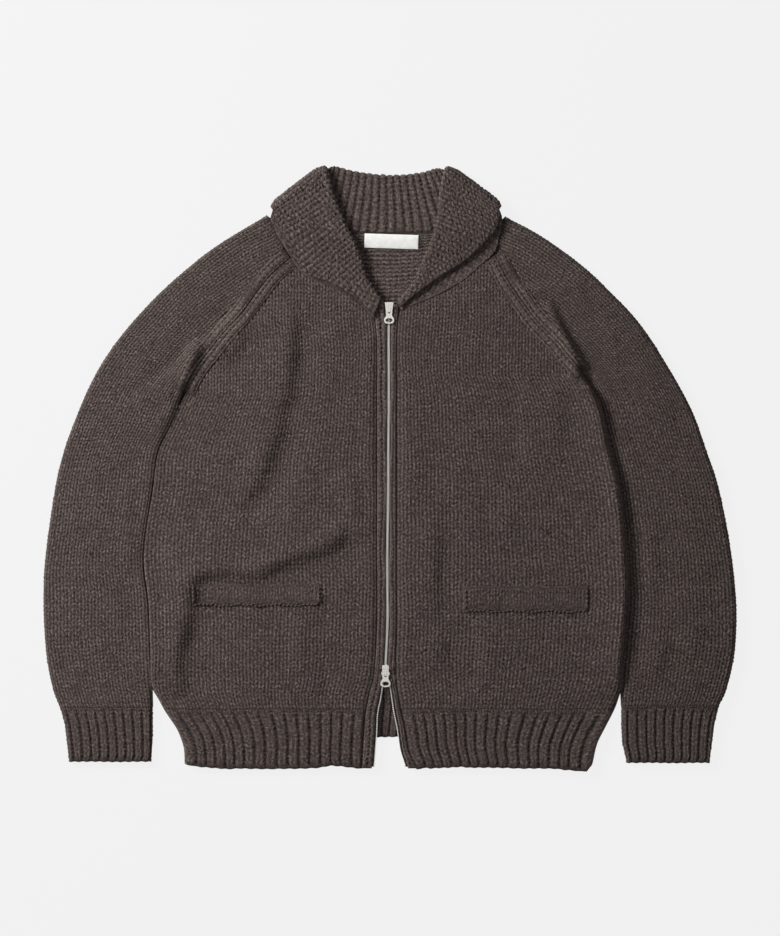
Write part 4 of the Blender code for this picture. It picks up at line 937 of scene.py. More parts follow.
def sleeve_row(inner_top, outer, inner_low, roll, reach, top_points=48, low_points=28):
    """One turn round a flattened sleeve, from its upper inner edge over the fold to the lower."""
    to_fold = (outer - inner_top) / np.linalg.norm(outer - inner_top)
    from_fold = (inner_low - outer) / np.linalg.norm(inner_low - outer)
    across = (to_fold - from_fold) / np.linalg.norm(to_fold - from_fold)
    floor = float(neck_rise(*(outer + HEIGHT_EASE * from_fold)))
    top_in = float(top_height(*(inner_top + HEIGHT_IN * to_fold)))
    top_out = max(float(top_height(*(outer - HEIGHT_IN * across))), floor + LOWEST_TOP)
    middle_in, middle_out = top_in / 2, (top_out + floor) / 2
    edge, edge_normals = rolled_edge(inner_top, to_fold, top_in, middle_in + SEAM / 2, roll, reach)
    if roll < 1:
        edge[:, 2] += (1 - roll) * (top_height(edge[:, 0], edge[:, 1]) - edge[:, 2])
    radius = middle_out - floor
    start = inner_top + to_fold * reach
    end = outer - across * radius
    flat = start + np.linspace(0, 1, top_points)[1:-1, None] * (end - start)
    height = top_height(*flat.T)
    height += np.exp(-np.linalg.norm(flat - end, axis=1) / HEIGHT_EASE) * (top_out - height)
    flat = np.column_stack([flat, height])
    angles = np.linspace(0, math.pi, 21)
    fold = np.column_stack([end + np.outer(radius * np.sin(angles), across),
                            middle_out + radius * np.cos(angles)])
    fold_normals = np.column_stack([np.outer(np.sin(angles), across), np.cos(angles)])
    low_edge, low_normals = rolled_edge(inner_low, -from_fold, middle_in - SEAM / 2, 0.0, roll)
    low_edge[:, 2] = middle_in - SEAM / 2 - low_edge[:, 2]
    low_normals[:, 2] *= -1
    low_end = inner_low - from_fold * (middle_in - SEAM / 2)
    low = end + np.linspace(0, 1, low_points)[1:-1, None] * (low_end - end)
    low = np.column_stack([low, neck_rise(*low.T)])
    low_edge[:, 2] += neck_rise(low_edge[:, 0], low_edge[:, 1]) * (1 - roll)
    points = np.concatenate([edge[::-1], flat, fold, low, low_edge])
    normals = np.concatenate([
        edge_normals[::-1], np.tile([0, 0, 1.0], (len(flat), 1)), fold_normals,
        np.tile([0, 0, -1.0], (len(low), 1)), low_normals])
    fold_number = len(edge) + len(flat) + len(angles) // 2
    return np.column_stack([points, normals]), fold_number


def neck_bow(side, row, upper):
    """How far the sleeve's end moves in plan to lie beside the collar seam on its upper half."""
    sign = SIGN[side]
    last = len(COLLAR_FRONT[side]) - 2
    start, end = row[0, :2], row[upper, :2]
    run = end - start
    share = np.clip((row[: upper + 1, :2] - start) @ run / (run @ run), 0, 1)
    places = RAGLAN_AT_NECK[side] + share * (last + 0.25 - RAGLAN_AT_NECK[side])
    seam = seam_beside(NECK_SEAM[side], places, -sign * SEAM * (2.5 + 4 * share[:, None]))
    straight = start + share[:, None] * run
    middle = np.clip(5 * np.minimum(share, 1 - share), 0, 1)
    bow = np.zeros((len(row), 2))
    bow[: upper + 1] = (seam - straight) * middle[:, None]
    return bow


def sleeve_grid(side, stitch, wale, course):
    """The sleeve's smooth outer face from cuff to neck, its wales running beside its fold."""
    sign = SIGN[side]
    arm = [(inner := (ix - sign * float(snug(side, iy)), iy), (ox, oy), inner)
           for ix, iy, ox, oy in SLEEVE_ARM[side][::-1]]
    front, back = along(RAGLAN_FRONT[side]), along(RAGLAN_BACK[side])
    head = along(SLEEVE_HEAD[side])
    shoulder = [(seam_beside(front, k, -sign * SEAM / 2), head(RAGLAN_LAST - k),
                 seam_beside(back, k, -sign * SEAM / 2)) for k in range(RAGLAN_LAST + 1)]
    table = np.array([np.concatenate([np.ravel(p) for p in row]) for row in [*arm, *shoulder]])
    curve = along(table)
    fine = np.linspace(0, len(table) - 1, 400)
    fold = profile_cells(curve(fine)[:, 2:4])
    rows = int(fold[-1] / course * stitch["rows"])
    numbers = np.interp(np.linspace(0, fold[-1], rows), fold, fine)
    profiles, lengths = [], []
    underarm = len(arm)
    end_row, fold_number = sleeve_row(*np.split(curve(len(table) - 1), 3), 0.0, SLEEVE_REACH["cuff"])
    bow = neck_bow(side, end_row, fold_number - FOLD_SPARE)
    for number in numbers:
        k = number - underarm
        section = curve(number)
        roll = side_roll(side, section[1]) * (1.0 if k <= 0 else max(0.0, 1 - k / 2))
        wide = float(smoothstep((section[1] - ROLL_FROM) / ROLL_RUN)) * roll
        reach = SLEEVE_REACH["cuff"] + (SLEEVE_REACH[side] - SLEEVE_REACH["cuff"]) * wide
        profile, fold_number = sleeve_row(*np.split(section, 3), roll, reach)
        if k > NECK_FROM:
            profile[:, :2] += (k - NECK_FROM) * bow
            top = slice(0, fold_number - FOLD_SPARE)
            profile[top, 2] = top_height(*profile[top, :2].T)
        length = profile_cells(profile)
        length -= length[fold_number]
        profiles.append(profile)
        lengths.append(length)
    below = numbers < underarm
    upper, lower = np.array([(-length[0], length[-1]) for length in lengths]).T
    parts = []
    for width, direction in ((upper, -1), (lower, 1)):
        at_underarm = float(np.interp(underarm, numbers, width))
        count = round(at_underarm / wale) * stitch["columns"]
        spacing = np.where(below, width, at_underarm) / count
        steps = np.arange(0 if direction < 0 else 1, count + 1)
        places = direction * spacing[:, None] * steps[None]
        parts.append(places[:, ::-1] if direction < 0 else places)
    return lay_out(profiles, lengths, np.concatenate(parts, axis=1))


# --- ribbed hems, cuffs and collar ------------------------------------------------------------


def wavy_end(grid, stitch, lift=0.0):
    """Lets each rib end bow down between its grooves, and lifts the edge where it is drawn up."""
    rows, columns = grid.shape[:2]
    phase = np.arange(columns) / stitch["columns"]
    wave = RIB_BOW * (1 + np.cos(2 * math.pi * phase))
    wave = wave + RIB_WANDER * np.sin(0.9 * phase) * np.sin(0.31 * phase)
    share = np.clip(1 - np.arange(rows) / (0.5 * rows), 0, 1)[:, None]
    grid[..., 1] += share**2 * wave[None] + share * lift
    return grid


def rib_starts(grid, stitch, course):
    """Which share of a rib's last rows is still the wales that it grows from."""
    rows = grid.shape[0]
    from_seam = (rows - 1 - np.arange(rows)) / stitch["rows"] * course
    return (1 - smoothstep(from_seam / RIB_START_LENGTH))[:, None]


def front_hem_grid(side, stitch, course):
    """The front hem's smooth outer face, from the zip band to the side fold."""
    sign = SIGN[side]
    rows = int((HEM_SEAM - HEM_BOTTOM) / course * stitch["rows"])
    profiles = [front_row((float(SIDE_X[side](y)), y),
                          (float(BAND_X[side](y)) + sign * SEAM / 2, y), 1.0)
                for y in np.linspace(HEM_BOTTOM, HEM_SEAM - SEAM / 2, rows)]
    lengths, widths = measured(profiles)
    grooves = np.array(HEM_GROOVES[side]) / HEM_GROOVES[side][-1]
    count = (len(grooves) - 1) * stitch["columns"]
    shares = np.interp(np.arange(count + 1) / stitch["columns"], np.arange(len(grooves)), grooves)
    grid, room = lay_out(profiles, lengths, widths[:, None] * shares[None])
    return wavy_end(grid, stitch, np.interp(grid[..., 0], *np.array(HEM_DRAWN_UP[side]).T)), room


def back_hem_grid(face, stitch, rib, course):
    """One face of the back hem, arched so that its middle lies above the fronts' hems."""
    rows = int(BACK_HEM_HEIGHT / course * stitch["rows"])
    normal, height = (-1.0, 0.0) if face == "under" else (1.0, KNIT)
    count = round((BODY_SIDE["left"][0][0] - BODY_SIDE["right"][0][0]) / rib) * stitch["columns"]
    across = np.linspace(0, 1, count + 1)
    grid = np.zeros((rows, count + 1, 6))
    for j, share in enumerate(np.linspace(0, 1, rows)):
        y_ends = BACK_HEM_ENDS + (BACK_HEM_HEIGHT - SEAM / 2) * share
        right, left = SIDE_X["right"](y_ends) + 1, SIDE_X["left"](y_ends) - 1
        grid[j, :, 0] = right + (left - right) * across
        grid[j, :, 1] = y_ends + BACK_HEM_ARCH * (1 - (2 * across - 1) ** 2)
    grid[..., 2], grid[..., 5] = height, normal
    room = np.minimum(across, 1 - across)[None] * count / stitch["columns"] * rib + 0 * grid[..., 0]
    return wavy_end(grid, stitch), room


def cuff_grid(side, stitch, rib, course):
    """The cuff's smooth outer face: a ribbed tube laid flat."""
    seam_y = SLEEVE_ARM[side][-1][1] - SEAM
    drops, inner_x, outer_x = np.array(CUFF[side]).T
    rows = int(drops[-1] / course * stitch["rows"])
    profiles = []
    for drop in np.linspace(drops[-1], 0, rows):
        left, right = sorted((np.interp(drop, drops, inner_x), np.interp(drop, drops, outer_x)))
        height = FRONT_TOP - CUFF_SLOPE * drop
        radius = height / 2
        angles = np.linspace(0, math.pi, 15)
        sides = np.column_stack([np.sin(angles), np.cos(angles)])
        inner = np.linspace(left + radius, right - radius, 40)[1:-1]
        none, one = np.zeros(len(inner)), np.ones(len(inner))
        ring = np.concatenate([
            np.column_stack([inner, height * one, none, one]),
            np.column_stack([right - radius + radius * sides[:, 0], radius + radius * sides[:, 1],
                             sides]),
            np.column_stack([inner[::-1], none, none, -one]),
            np.column_stack([left + radius - radius * sides[:, 0], radius - radius * sides[:, 1],
                             -sides]),
        ])
        ring = np.concatenate([ring, ring[:1]])
        profile = np.zeros((len(ring), 6))
        profile[:, 0], profile[:, 2], profile[:, 3], profile[:, 5] = ring.T
        profile[:, 1] = seam_y - drop
        profiles.append(profile)
    lengths, round_it = measured(profiles)
    count = round(round_it[rows // 2] / rib) * stitch["columns"]
    grid, _ = lay_out(profiles, lengths, round_it[:, None] / count * np.arange(count + 1)[None])
    return wavy_end(grid, stitch), np.full(grid.shape[:2], 99.0)


def collar_stations(per_rib):
    """Every step of the collar: its section, and how far its fall is turned from facing up."""
    stations = []
    for side in SIDES:
        rows = along(COLLAR_FRONT[side])
        last = len(COLLAR_FRONT[side]) - 1
        fine = np.linspace(0, last, 200)
        length = profile_cells(rows(fine)[:, 2:4])
        steps = np.linspace(0, length[-1], per_rib * COLLAR_RIBS[side] + 1)
        front = [(rows(place), 0.0) for place in np.interp(steps, length, fine)]
        turns = np.linspace(0, math.pi, per_rib * COLLAR_RIBS["shoulder"] + 1)[1:-1]
        stations.append(front + [(rows(last), turn) for turn in turns])
    back_rows_at = along(COLLAR_BACK)
    fine = np.linspace(0, len(COLLAR_BACK) - 1, 300)
    table = back_rows_at(fine)
    length = profile_cells((table[:, 0:2] + table[:, 2:4]) / 2)
    steps = np.linspace(0, length[-1], per_rib * COLLAR_RIBS["back"] + 1)
    back = [(back_rows_at(place), math.pi) for place in np.interp(steps, length, fine)]
    return stations[0] + back + stations[1][::-1]


def rounded_corner(roll):
    """The roll's place in plan, pushed out where its front part turns into its back part."""
    for corner, push in ROLL_CORNERS:
        near = math.exp(-((np.linalg.norm(roll - corner) / 20) ** 2))
        roll = roll + near * np.array(push)
    return roll


def collar_profile(section, turn):
    """Points and normals of one section, from the neck seam over the roll to the edge."""
    seam, roll, edge = section[0:2], rounded_corner(section[2:4]), section[4:6]
    to_seam = (seam - roll) / np.linalg.norm(seam - roll)
    to_edge = (edge - roll) / np.linalg.norm(edge - roll)
    outward = np.array([-to_seam[1], to_seam[0]])
    outward = outward if outward[1] > 0 else -outward
    facing = np.array([*(outward * math.sin(turn)), math.cos(turn)])
    bend = KNIT + ROLL_GAP
    half_height = (COLLAR_MID + NECK_RISE - bend) / 2
    axis_height = (COLLAR_MID + NECK_RISE + bend) / 2
    centre = roll + bend * to_seam

    def middle(plan):
        if turn == 0:
            return np.array([*plan, COLLAR_MID + float(neck_rise(*plan, 1.6 * NECK_RISE_LENGTH))])
        from_roll = min(float(np.linalg.norm(plan - centre)) / SHOULDER_ROUND, 1.0)
        from_seam = min(float(np.linalg.norm(plan - seam)) / SHOULDER_END, 1.0)
        bulge = SHOULDER_LEAST + (1 - SHOULDER_LEAST) * math.sqrt(from_roll * (2 - from_roll))
        bulge *= SHOULDER_SEAM + (1 - SHOULDER_SEAM) * math.sqrt(from_seam * (2 - from_seam))
        return np.array([*plan, axis_height]) + half_height * facing * (bulge, bulge, 1)

    back_to_roll = np.array([*-(to_seam + to_edge) / np.linalg.norm(to_seam + to_edge), 0])
    rows = []
    for share in np.linspace(1, 0, 14)[:-1]:
        place = middle(centre + share * (seam - centre))
        rows.append([*(place - bend * facing), *-facing])
    fold_number = len(rows) + 6
    for angle in np.linspace(-math.pi / 2, math.pi / 2, 13):
        way = math.cos(angle) * back_to_roll + math.sin(angle) * facing
        rows.append([*(middle(centre) + bend * way), *way])
    for share in np.linspace(0, 1, 14)[1:]:
        place = middle(centre + share * (edge - centre))
        rows.append([*(place + bend * facing), *facing])
    return np.array(rows), fold_number


def collar_grid(stitch, course):
    """The collar's smooth outer face, its ribs running from the neck seam to the outer edge."""
    profiles, lengths, turns = [], [], []
    for section, turn in collar_stations(stitch["columns"]):
        turns.append(turn)
        profile, fold_number = collar_profile(section, turn)
        length = profile_cells(profile)
        profiles.append(profile)
        lengths.append(length - length[fold_number])
    stand = max(-length[0] for length in lengths)
    fall = max(length[-1] for length in lengths)
    step = course / stitch["rows"]
    places = step * np.arange(-int(stand / step) - 1, int(fall / step) + 2)
    grid, room = lay_out(profiles, lengths, np.tile(places, (len(profiles), 1)))
    return grid.transpose(1, 0, 2), room.T, places, np.array(turns)


# --- what is laid on a made surface -----------------------------------------------------------


def heights_over(grid):
    """Height of a smooth face at points in plan, found by looking straight down at it."""
    numbers = np.arange(grid[..., 0].size).reshape(grid.shape[:2])
    tree = BVHTree.FromPolygons(grid[..., :3].reshape(-1, 3).tolist(), squares(numbers).tolist())

    def at(x, y):
        found = []
        for px, py in zip(np.ravel(x), np.ravel(y)):
            hit = tree.ray_cast(Vector((px, py, 100)), Vector((0, 0, -1)))[0]
            if hit is None:
                hit = tree.find_nearest(Vector((px, py, FRONT_TOP)))[0]
            found.append(hit.z)
        return np.reshape(found, np.shape(x))

    return at


def flat_grid(x, y, z):
    """Plan points and heights as a grid that faces up."""
    up = np.zeros((*x.shape, 3))
    up[..., 2] = 1
    return np.concatenate([np.stack([x, y, z], -1), up], -1)


def border_shell(side, line, away, height_at, sizes):
    """The two wales that run beside a raglan seam, standing a little over their panel."""
    sign = SIGN[side]
    curve = along(line)
    fine = np.linspace(0.15, RAGLAN_LAST, 300)
    length = profile_cells(curve(fine))
    course = BORDER_COURSE * sizes.course
    rows = int(length[-1] / course * BORDER["rows"])
    numbers = np.interp(np.linspace(0, length[-1], rows), length, fine)
    wale = sizes.border / 2
    columns = 2 * BORDER["columns"] + 1
    across = np.linspace(0.25, sizes.border, columns)
    stations = np.stack([seam_beside(curve, numbers, away * sign * d) for d in across], 1)
    z = height_at(stations[..., 0], stations[..., 1])
    share = (across / sizes.border)[None]
    lift = sizes.border_lift * np.minimum(1, 6 * np.minimum(share, 1 - share))
    lift = lift * taper(rows, 6)[:, None]
    grid = flat_grid(stations[..., 0], stations[..., 1], z + lift + BORDER_OVER)
    number = np.arange(rows)
    wander = 0.55 + 0.3 * np.sin(0.061 * number) + 0.2 * np.sin(0.17 * number + away)
    firm = np.clip(wander, 0.1, 1)[:, None] * np.clip(0.25 + numbers / 4, 0, 1)[:, None]
    room = (np.minimum(share, 1 - share) * sizes.border + 0.5 * wale) * firm
    return knit_shell(grid, room, BORDER, wale, course, wall=BORDER_WALL, start=0.5, coarse=(6, 4))


def under_border(grid, line, sizes):
    """How far a panel's upper face lies lower where its raglan border covers it."""
    near = smoothstep((sizes.border + 0.5 - distance_to(line, grid[..., 0], grid[..., 1])) / 2)
    return SINK * near * (grid[..., 5] > 0.2)


def capsules(name, ends, radius, material, sides=6):
    """Short stitches of yarn, each a bent thread between two ends that dips into the cloth."""
    t, wide, rise = np.array(THREAD).T
    turns = np.linspace(0, 2 * math.pi, sides, endpoint=False)
    parts = []
    for start, end in ends:
        start, end = np.array(start, float), np.array(end, float)
        run = (end - start) / np.linalg.norm(end - start)
        side = np.array([-run[1], run[0], 0])
        up = np.array([0, 0, 1.0])
        points = np.array([
            start + (end - start) * place + up * lift * radius
            + radius * w * (np.outer(np.cos(turns), side) + np.outer(np.sin(turns), up))
            for place, w, lift in zip(t, wide, rise)])
        numbers = np.arange(points[..., 0].size).reshape(len(t), sides)
        faces = [(numbers[i, j], numbers[i, (j + 1) % sides],
                  numbers[i + 1, (j + 1) % sides], numbers[i + 1, j])
                 for i in range(len(t) - 1) for j in range(sides)]
        faces += [tuple(numbers[0][::-1]), tuple(numbers[-1])]
        places = np.stack(np.broadcast_arrays(
            turns[None] * radius / 10, (t * np.linalg.norm(end - start) / 10)[:, None]), -1)
        parts.append((points.reshape(-1, 3), faces, np.full(points[..., 0].size, 0.9),
                      places.reshape(-1, 2)))
    return cloth_object(name, parts, material)


# --- materials --------------------------------------------------------------------------------


def colour(hex_code):
    """A linear colour from an sRGB hex code."""
    parts = [int(hex_code[i:i + 2], 16) / 255 for i in (1, 3, 5)]
    return tuple(c / 12.92 if c <= 0.04045 else ((c + 0.055) / 1.055) ** 2.4 for c in parts)


def node(tree, kind, links=None, values=None, **settings):
    """Adds a shader node with its settings, its values and what feeds it."""
    made = tree.nodes.new("ShaderNode" + kind)
    for key, value in settings.items():
        setattr(made, key, value)
    for key, value in (values or {}).items():
        made.inputs[key].default_value = value
    for key, source in (links or {}).items():
        tree.links.new(source, made.inputs[key])
    return made


def noise(tree, vector, scale, detail=2.0, **more):
    """Cloudy noise over the given places, from 0 to 1."""
    return node(tree, "TexNoise", {"Vector": vector},
                {"Scale": scale, "Detail": detail, **more}).outputs["Fac"]


def stretched(tree, vector, scale=(1.0, 1.0, 1.0), turn=0.0):
    """The given places, scaled and turned about Z."""
    return node(tree, "Mapping", {"Vector": vector},
                {"Scale": scale, "Rotation": (0, 0, turn)}).outputs[0]


def bumped(tree, height, strength, distance, **links):
    """A normal that follows a height."""
    return node(tree, "Bump", {"Height": height, **links},
                {"Strength": strength, "Distance": distance}).outputs[0]


def new_material(name):
    """An empty node material, and its node tree."""
    material = bpy.data.materials.new(name)
    material.use_nodes = True
    tree = material.node_tree
    tree.nodes.clear()
    return material, tree


def finish_material(material, links, values):
    """Gives a material its surface shader, and returns it."""
    tree = material.node_tree
    shader = node(tree, "BsdfPrincipled", links, values)
    node(tree, "OutputMaterial", {"Surface": shader.outputs[0]})
    return material


def ramp(tree, source, stops):
    """A colour ramp over a source, from pairs of place and colour."""
    made = node(tree, "ValToRGB", {"Fac": source})
    elements = made.color_ramp.elements
    while len(elements) < len(stops):
        elements.new(0.5)
    for element, (place, value) in zip(elements, stops):
        element.position = place
        element.color = (*value, 1)
    return made.outputs[0]


def grey(value):
    """A colour that brightens or darkens what it multiplies."""
    return (value, value, value)


def wool_material(name, look, shade=1.0):
    """Heather wool, roving-spun and softly twisted, knitted in bulky yarn.

    Undyed dark fibres are blended with paler ones, so the colour wanders from stitch to stitch;
    the loose spinning leaves a dull face, a pale nap at grazing angles and fine stray fibres.
    The hollows between the stitches are darkened with painted shade, and the stitches' crowns
    lightened a little with painted light, by each point's height in its stitch.
    """
    material, tree = new_material(name)
    place = node(tree, "UVMap", uv_map="knit").outputs[0]
    height = node(tree, "Attribute", attribute_name="height").outputs["Fac"]
    stitch = noise(tree, stretched(tree, place, (1.0, 0.7, 1.0)), 4.6, 3.0, Roughness=0.7)
    fibres = noise(tree, stretched(tree, place, (13.0, 4.0, 1.0)), 2.2, 4.0,
                   Roughness=0.75, Distortion=0.4)
    broad = noise(tree, place, 0.5)
    # Painted shade: a shade below 1 darkens every colour of the wool.
    dark, middle, pale = (tuple(shade * c for c in colour(code)) for code in look)
    wool = ramp(tree, stitch, ((0.3, dark), (0.5, middle), (0.72, pale)))
    flecks = ramp(tree, fibres, ((0.36, grey(0.5)), (0.5, grey(1.0)), (0.66, grey(1.9))))
    drift = ramp(tree, broad, ((0.3, grey(0.9)), (0.7, grey(1.1))))
    # Painted shade and light: darker down in the hollows between stitches, a little paler on their
    # crowns.
    painted_stitch_shade = ramp(tree, height, ((0.0, grey(0.22)), (0.4, grey(0.6)), (0.85, grey(1.18))))
    for factor in (flecks, drift, painted_stitch_shade):
        wool = node(tree, "VectorMath", {0: wool, 1: factor}, operation="MULTIPLY").outputs[0]
    ply = noise(tree, stretched(tree, place, (9.0, 5.0, 1.0), 0.6), 1.6, 3.0, Roughness=0.65)
    bump = bumped(tree, ply, 0.55, 0.0009)
    fuzz = bumped(tree, fibres, 0.35, 0.0005, Normal=bump)
    return finish_material(material, {"Base Color": wool, "Normal": fuzz},
                           {"Roughness": 0.95, "Specular IOR Level": 0.12, "Sheen Weight": 0.16,
                            "Sheen Roughness": 0.55, "Sheen Tint": (*colour("#b9a9a2"), 1)})


def tape_material(name):
    """Zip tape, a close polyester twill dyed to the wool: flat dark colour, faint diagonal ribs."""
    material, tree = new_material(name)
    place = node(tree, "TexCoord").outputs["Object"]
    twill = node(tree, "TexWave", {"Vector": stretched(tree, place, turn=0.7)},
                 {"Scale": 420.0, "Distortion": 0.6, "Detail": 1.0}).outputs["Fac"]
    tone = ramp(tree, twill, ((0.2, colour("#1d1917")), (0.8, colour("#322b28"))))
    bump = bumped(tree, twill, 0.5, 0.0002)
    return finish_material(material, {"Base Color": tone, "Normal": bump},
                           {"Roughness": 0.7, "Specular IOR Level": 0.3})


def metal_material(name, metallic=1.0, dull=0.0, tones=("#a6a39e", "#c6c3bd")):
    """Nickel-plated zinc, tumbled bright: pale mirror-like metal with fine handling scratches.

    The teeth are left duller by their tumbling, so that they scatter light on all sides.
    """
    material, tree = new_material(name)
    place = node(tree, "TexCoord").outputs["Object"]
    cloud = noise(tree, place, 700.0, 3.0)
    scratch = noise(tree, stretched(tree, place, (1.0, 0.12, 1.0)), 5200.0)
    tone = ramp(tree, cloud, ((0.35, colour(tones[0])), (0.65, colour(tones[1]))))
    rough = node(tree, "MapRange", {"Value": cloud},
                 {"From Min": 0.3, "From Max": 0.7, "To Min": 0.2 + dull, "To Max": 0.34 + dull})
    bump = bumped(tree, scratch, 0.12, 0.00006)
    return finish_material(material, {"Base Color": tone, "Roughness": rough.outputs[0],
                                      "Normal": bump}, {"Metallic": metallic})


def label_material(name):
    """Damask label ribbon, woven in bleached polyester satin: white, faintly ribbed, soft gloss."""
    material, tree = new_material(name)
    place = node(tree, "TexCoord").outputs["Object"]
    warp = node(tree, "TexWave", {"Vector": place},
                {"Scale": 900.0, "Distortion": 0.4, "Detail": 1.0})
    weft = node(tree, "TexWave", {"Vector": place}, {"Scale": 700.0, "Distortion": 0.4},
                bands_direction="Y")
    cloud = noise(tree, place, 180.0, 3.0)
    weave = node(tree, "Math", {0: warp.outputs["Fac"], 1: weft.outputs["Fac"]},
                 operation="ADD")
    tone = ramp(tree, cloud, ((0.3, colour("#e9e7e3")), (0.7, colour("#f6f5f2"))))
    bump = bumped(tree, weave.outputs[0], 0.4, 0.00015)
    return finish_material(material, {"Base Color": tone, "Normal": bump},
                           {"Roughness": 0.55, "Sheen Weight": 0.1})


def floor_material(name, tone):
    """Pale matt paper, lit a little from within so that it stays even."""
    material, tree = new_material(name)
    place = node(tree, "TexCoord").outputs["Object"]
    grain = noise(tree, place, 900.0)
    glow = ramp(tree, grain, ((0.4, [0.995 * c for c in tone]), (0.6, tone)))
    shade = ramp(tree, grain, ((0.4, [0.038 * c for c in tone]), (0.6, [0.042 * c for c in tone])))
    return finish_material(material, {"Base Color": shade, "Emission Color": glow},
                           {"Roughness": 0.9, "Specular IOR Level": 0.0, "Emission Strength": 0.955})


# --- making the pieces ------------------------------------------------------------------------


def put_on(piece, body, slot, *nodes):
    """Fixes a finished piece to its body, in place of the nodes it covers. The slot is not used."""
    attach(piece, body)
    if nodes:
        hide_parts(*nodes)
    return piece


# Sizes that the panel offers, in millimetres: name, meaning, first value, least and most.
SIZES = (
    ("wale", "Width of one knit stitch", 8.2, 4, 14),
    ("course", "Height of one knit stitch", 5.3, 3, 10),
    ("hem_rib", "Pitch of the back hem's ribs", 9.8, 6, 20),
    ("cuff_rib", "Pitch of the cuffs' ribs", 11.6, 6, 20),
    ("collar_bead", "Height of one stitch of the collar's rib", 5.8, 3, 10),
    ("border", "Width of the two wales beside each raglan seam", 15.0, 6, 24),
    ("border_lift", "How far those wales stand up", 0.9, 0, 3),
    ("tooth_pitch", "Spacing of the zip's teeth on one tape", 2.64, 1, 6),
)


class CardiganSizes(bpy.types.PropertyGroup):
    """Sizes and colours of the cardigan, in millimetres and linear colours."""

    floor: FloatVectorProperty(name="Floor", description="Colour of the floor", size=3,
                               subtype="COLOR", default=(0.888, 0.888, 0.888))


for key, meaning, first, least, most in SIZES:
    CardiganSizes.__annotations__[key] = FloatProperty(
        name=key.replace("_", " ").capitalize(), description=f"{meaning} in millimetres",
        default=first, min=least, max=most)


def sizes_of(context):
    """The sizes and colours set for this scene."""
    return context.scene.cardigan_sizes


def wool(name="Heather wool knit", shade=1.0):
    """The heather wool, made once for each shade of it."""
    return bpy.data.materials.get(name) or wool_material(name, WOOL_LOOK, shade)


def ribbed_wool():
    """The same wool, painted darker for the shade that the ribs hold."""
    return wool("Heather wool rib painted shade", RIB_SHADE)


def raglan_piece(node_name, side, grid, room, away, sizes):
    """A plain panel with its raglan border, which lies on the given side of the seam."""
    line = RAGLAN_FRONT[side]
    parts = [knit_shell(grid, room, STOCKING, sizes.wale, sizes.course, fade=(False, True),
                        sink=under_border(grid, line, sizes)),
             border_shell(side, line, away, heights_over(grid), sizes)]
    piece = cloth_object(f"{node_name}_knit", parts, wool())
    return put_on(piece, "cardigan", "wool_knit", node_name)


def ribbed_piece(node_name, grid, room, rib, course, sides=True):
    """A ribbed end of a panel, whose ribs grow from the panel's wales."""
    part = knit_shell(grid, room, RIB, rib, course, sides=sides, fade=(True, False),
                      other=RIB_START, share=rib_starts(grid, RIB, course))
    piece = cloth_object(f"{node_name}_rib", [part], ribbed_wool())
    return put_on(piece, "cardigan", "wool_rib", node_name)


class CARDIGAN_OT_body(bpy.types.Operator):
    """Knit the back, both fronts and the ribbed hems"""

    bl_idname = "cardigan.body"
    bl_label = "Back, fronts and hems"

    def execute(self, context):
        sizes = sizes_of(context)
        made = back_grids(BACK_STOCKING, sizes.wale, sizes.course)
        grid, room = made["under"]
        outer, height = knitted(grid, room, BACK_STOCKING, sizes.wale, sizes.course)
        inside, inside_room = made["inside"]
        face, inside_height = knitted(inside, inside_room, PURL, sizes.wale, sizes.course)
        rows, columns = inside_rows(inside)
        places = [pattern_places(face_grid, stitch, sizes.wale, sizes.course)
                  for face_grid, stitch in ((grid, BACK_STOCKING), (inside, PURL))]
        picked = np.ix_(rows, columns)
        part = shell((outer, face[picked]), height, (places[0], places[1][picked]),
                     under=inside_height[picked])
        back = cloth_object("back_knit", [part], wool())
        put_on(back, "cardigan", "wool_knit", "back")
        self.back_hem(sizes)
        for side in SIDES:
            self.front(side, sizes)
            self.front_hem(side, sizes)
        return {"FINISHED"}

    def back_hem(self, sizes):
        """The back's ribbed hem, whose inside shows between the fronts."""
        grids = [back_hem_grid(face, RIB, sizes.hem_rib, sizes.course)
                 for face in ("under", "inside")]
        (under, height), (inside, inside_height) = (
            knitted(grid, room, RIB, sizes.hem_rib, sizes.course) for grid, room in grids)
        marks = pattern_places(grids[0][0], RIB, sizes.hem_rib, sizes.course)
        part = shell((under, inside), height, (marks, marks), under=inside_height)
        hem = cloth_object("hem_back_rib", [part], ribbed_wool())
        put_on(hem, "cardigan", "wool_rib", "hem_back")

    def front(self, side, sizes):
        """One front with its raglan border."""
        grid, room = front_grid(side, STOCKING, sizes.wale, sizes.course)
        SMOOTH_FACES[f"front_{side}"] = grid
        front = raglan_piece(f"front_{side}", side, grid, room, 1, sizes)

    def front_hem(self, side, sizes):
        """The ribbed hem of one front."""
        grid, room = front_hem_grid(side, RIB, sizes.course)
        hem = ribbed_piece(f"hem_front_{side}", grid, room, sizes.hem_rib, sizes.course)


class CARDIGAN_OT_sleeves(bpy.types.Operator):
    """Knit both raglan sleeves and their ribbed cuffs"""

    bl_idname = "cardigan.sleeves"
    bl_label = "Sleeves and cuffs"

    def execute(self, context):
        sizes = sizes_of(context)
        for side in SIDES:
            grid, room = sleeve_grid(side, STOCKING, sizes.wale, sizes.course)
            sleeve = raglan_piece(f"sleeve_{side}", side, grid, room, -1, sizes)
            grid, room = cuff_grid(side, RIB, sizes.cuff_rib, sizes.course)
            cuff = ribbed_piece(f"cuff_{side}", grid, room, sizes.cuff_rib, sizes.course,
                                sides=False)
        return {"FINISHED"}


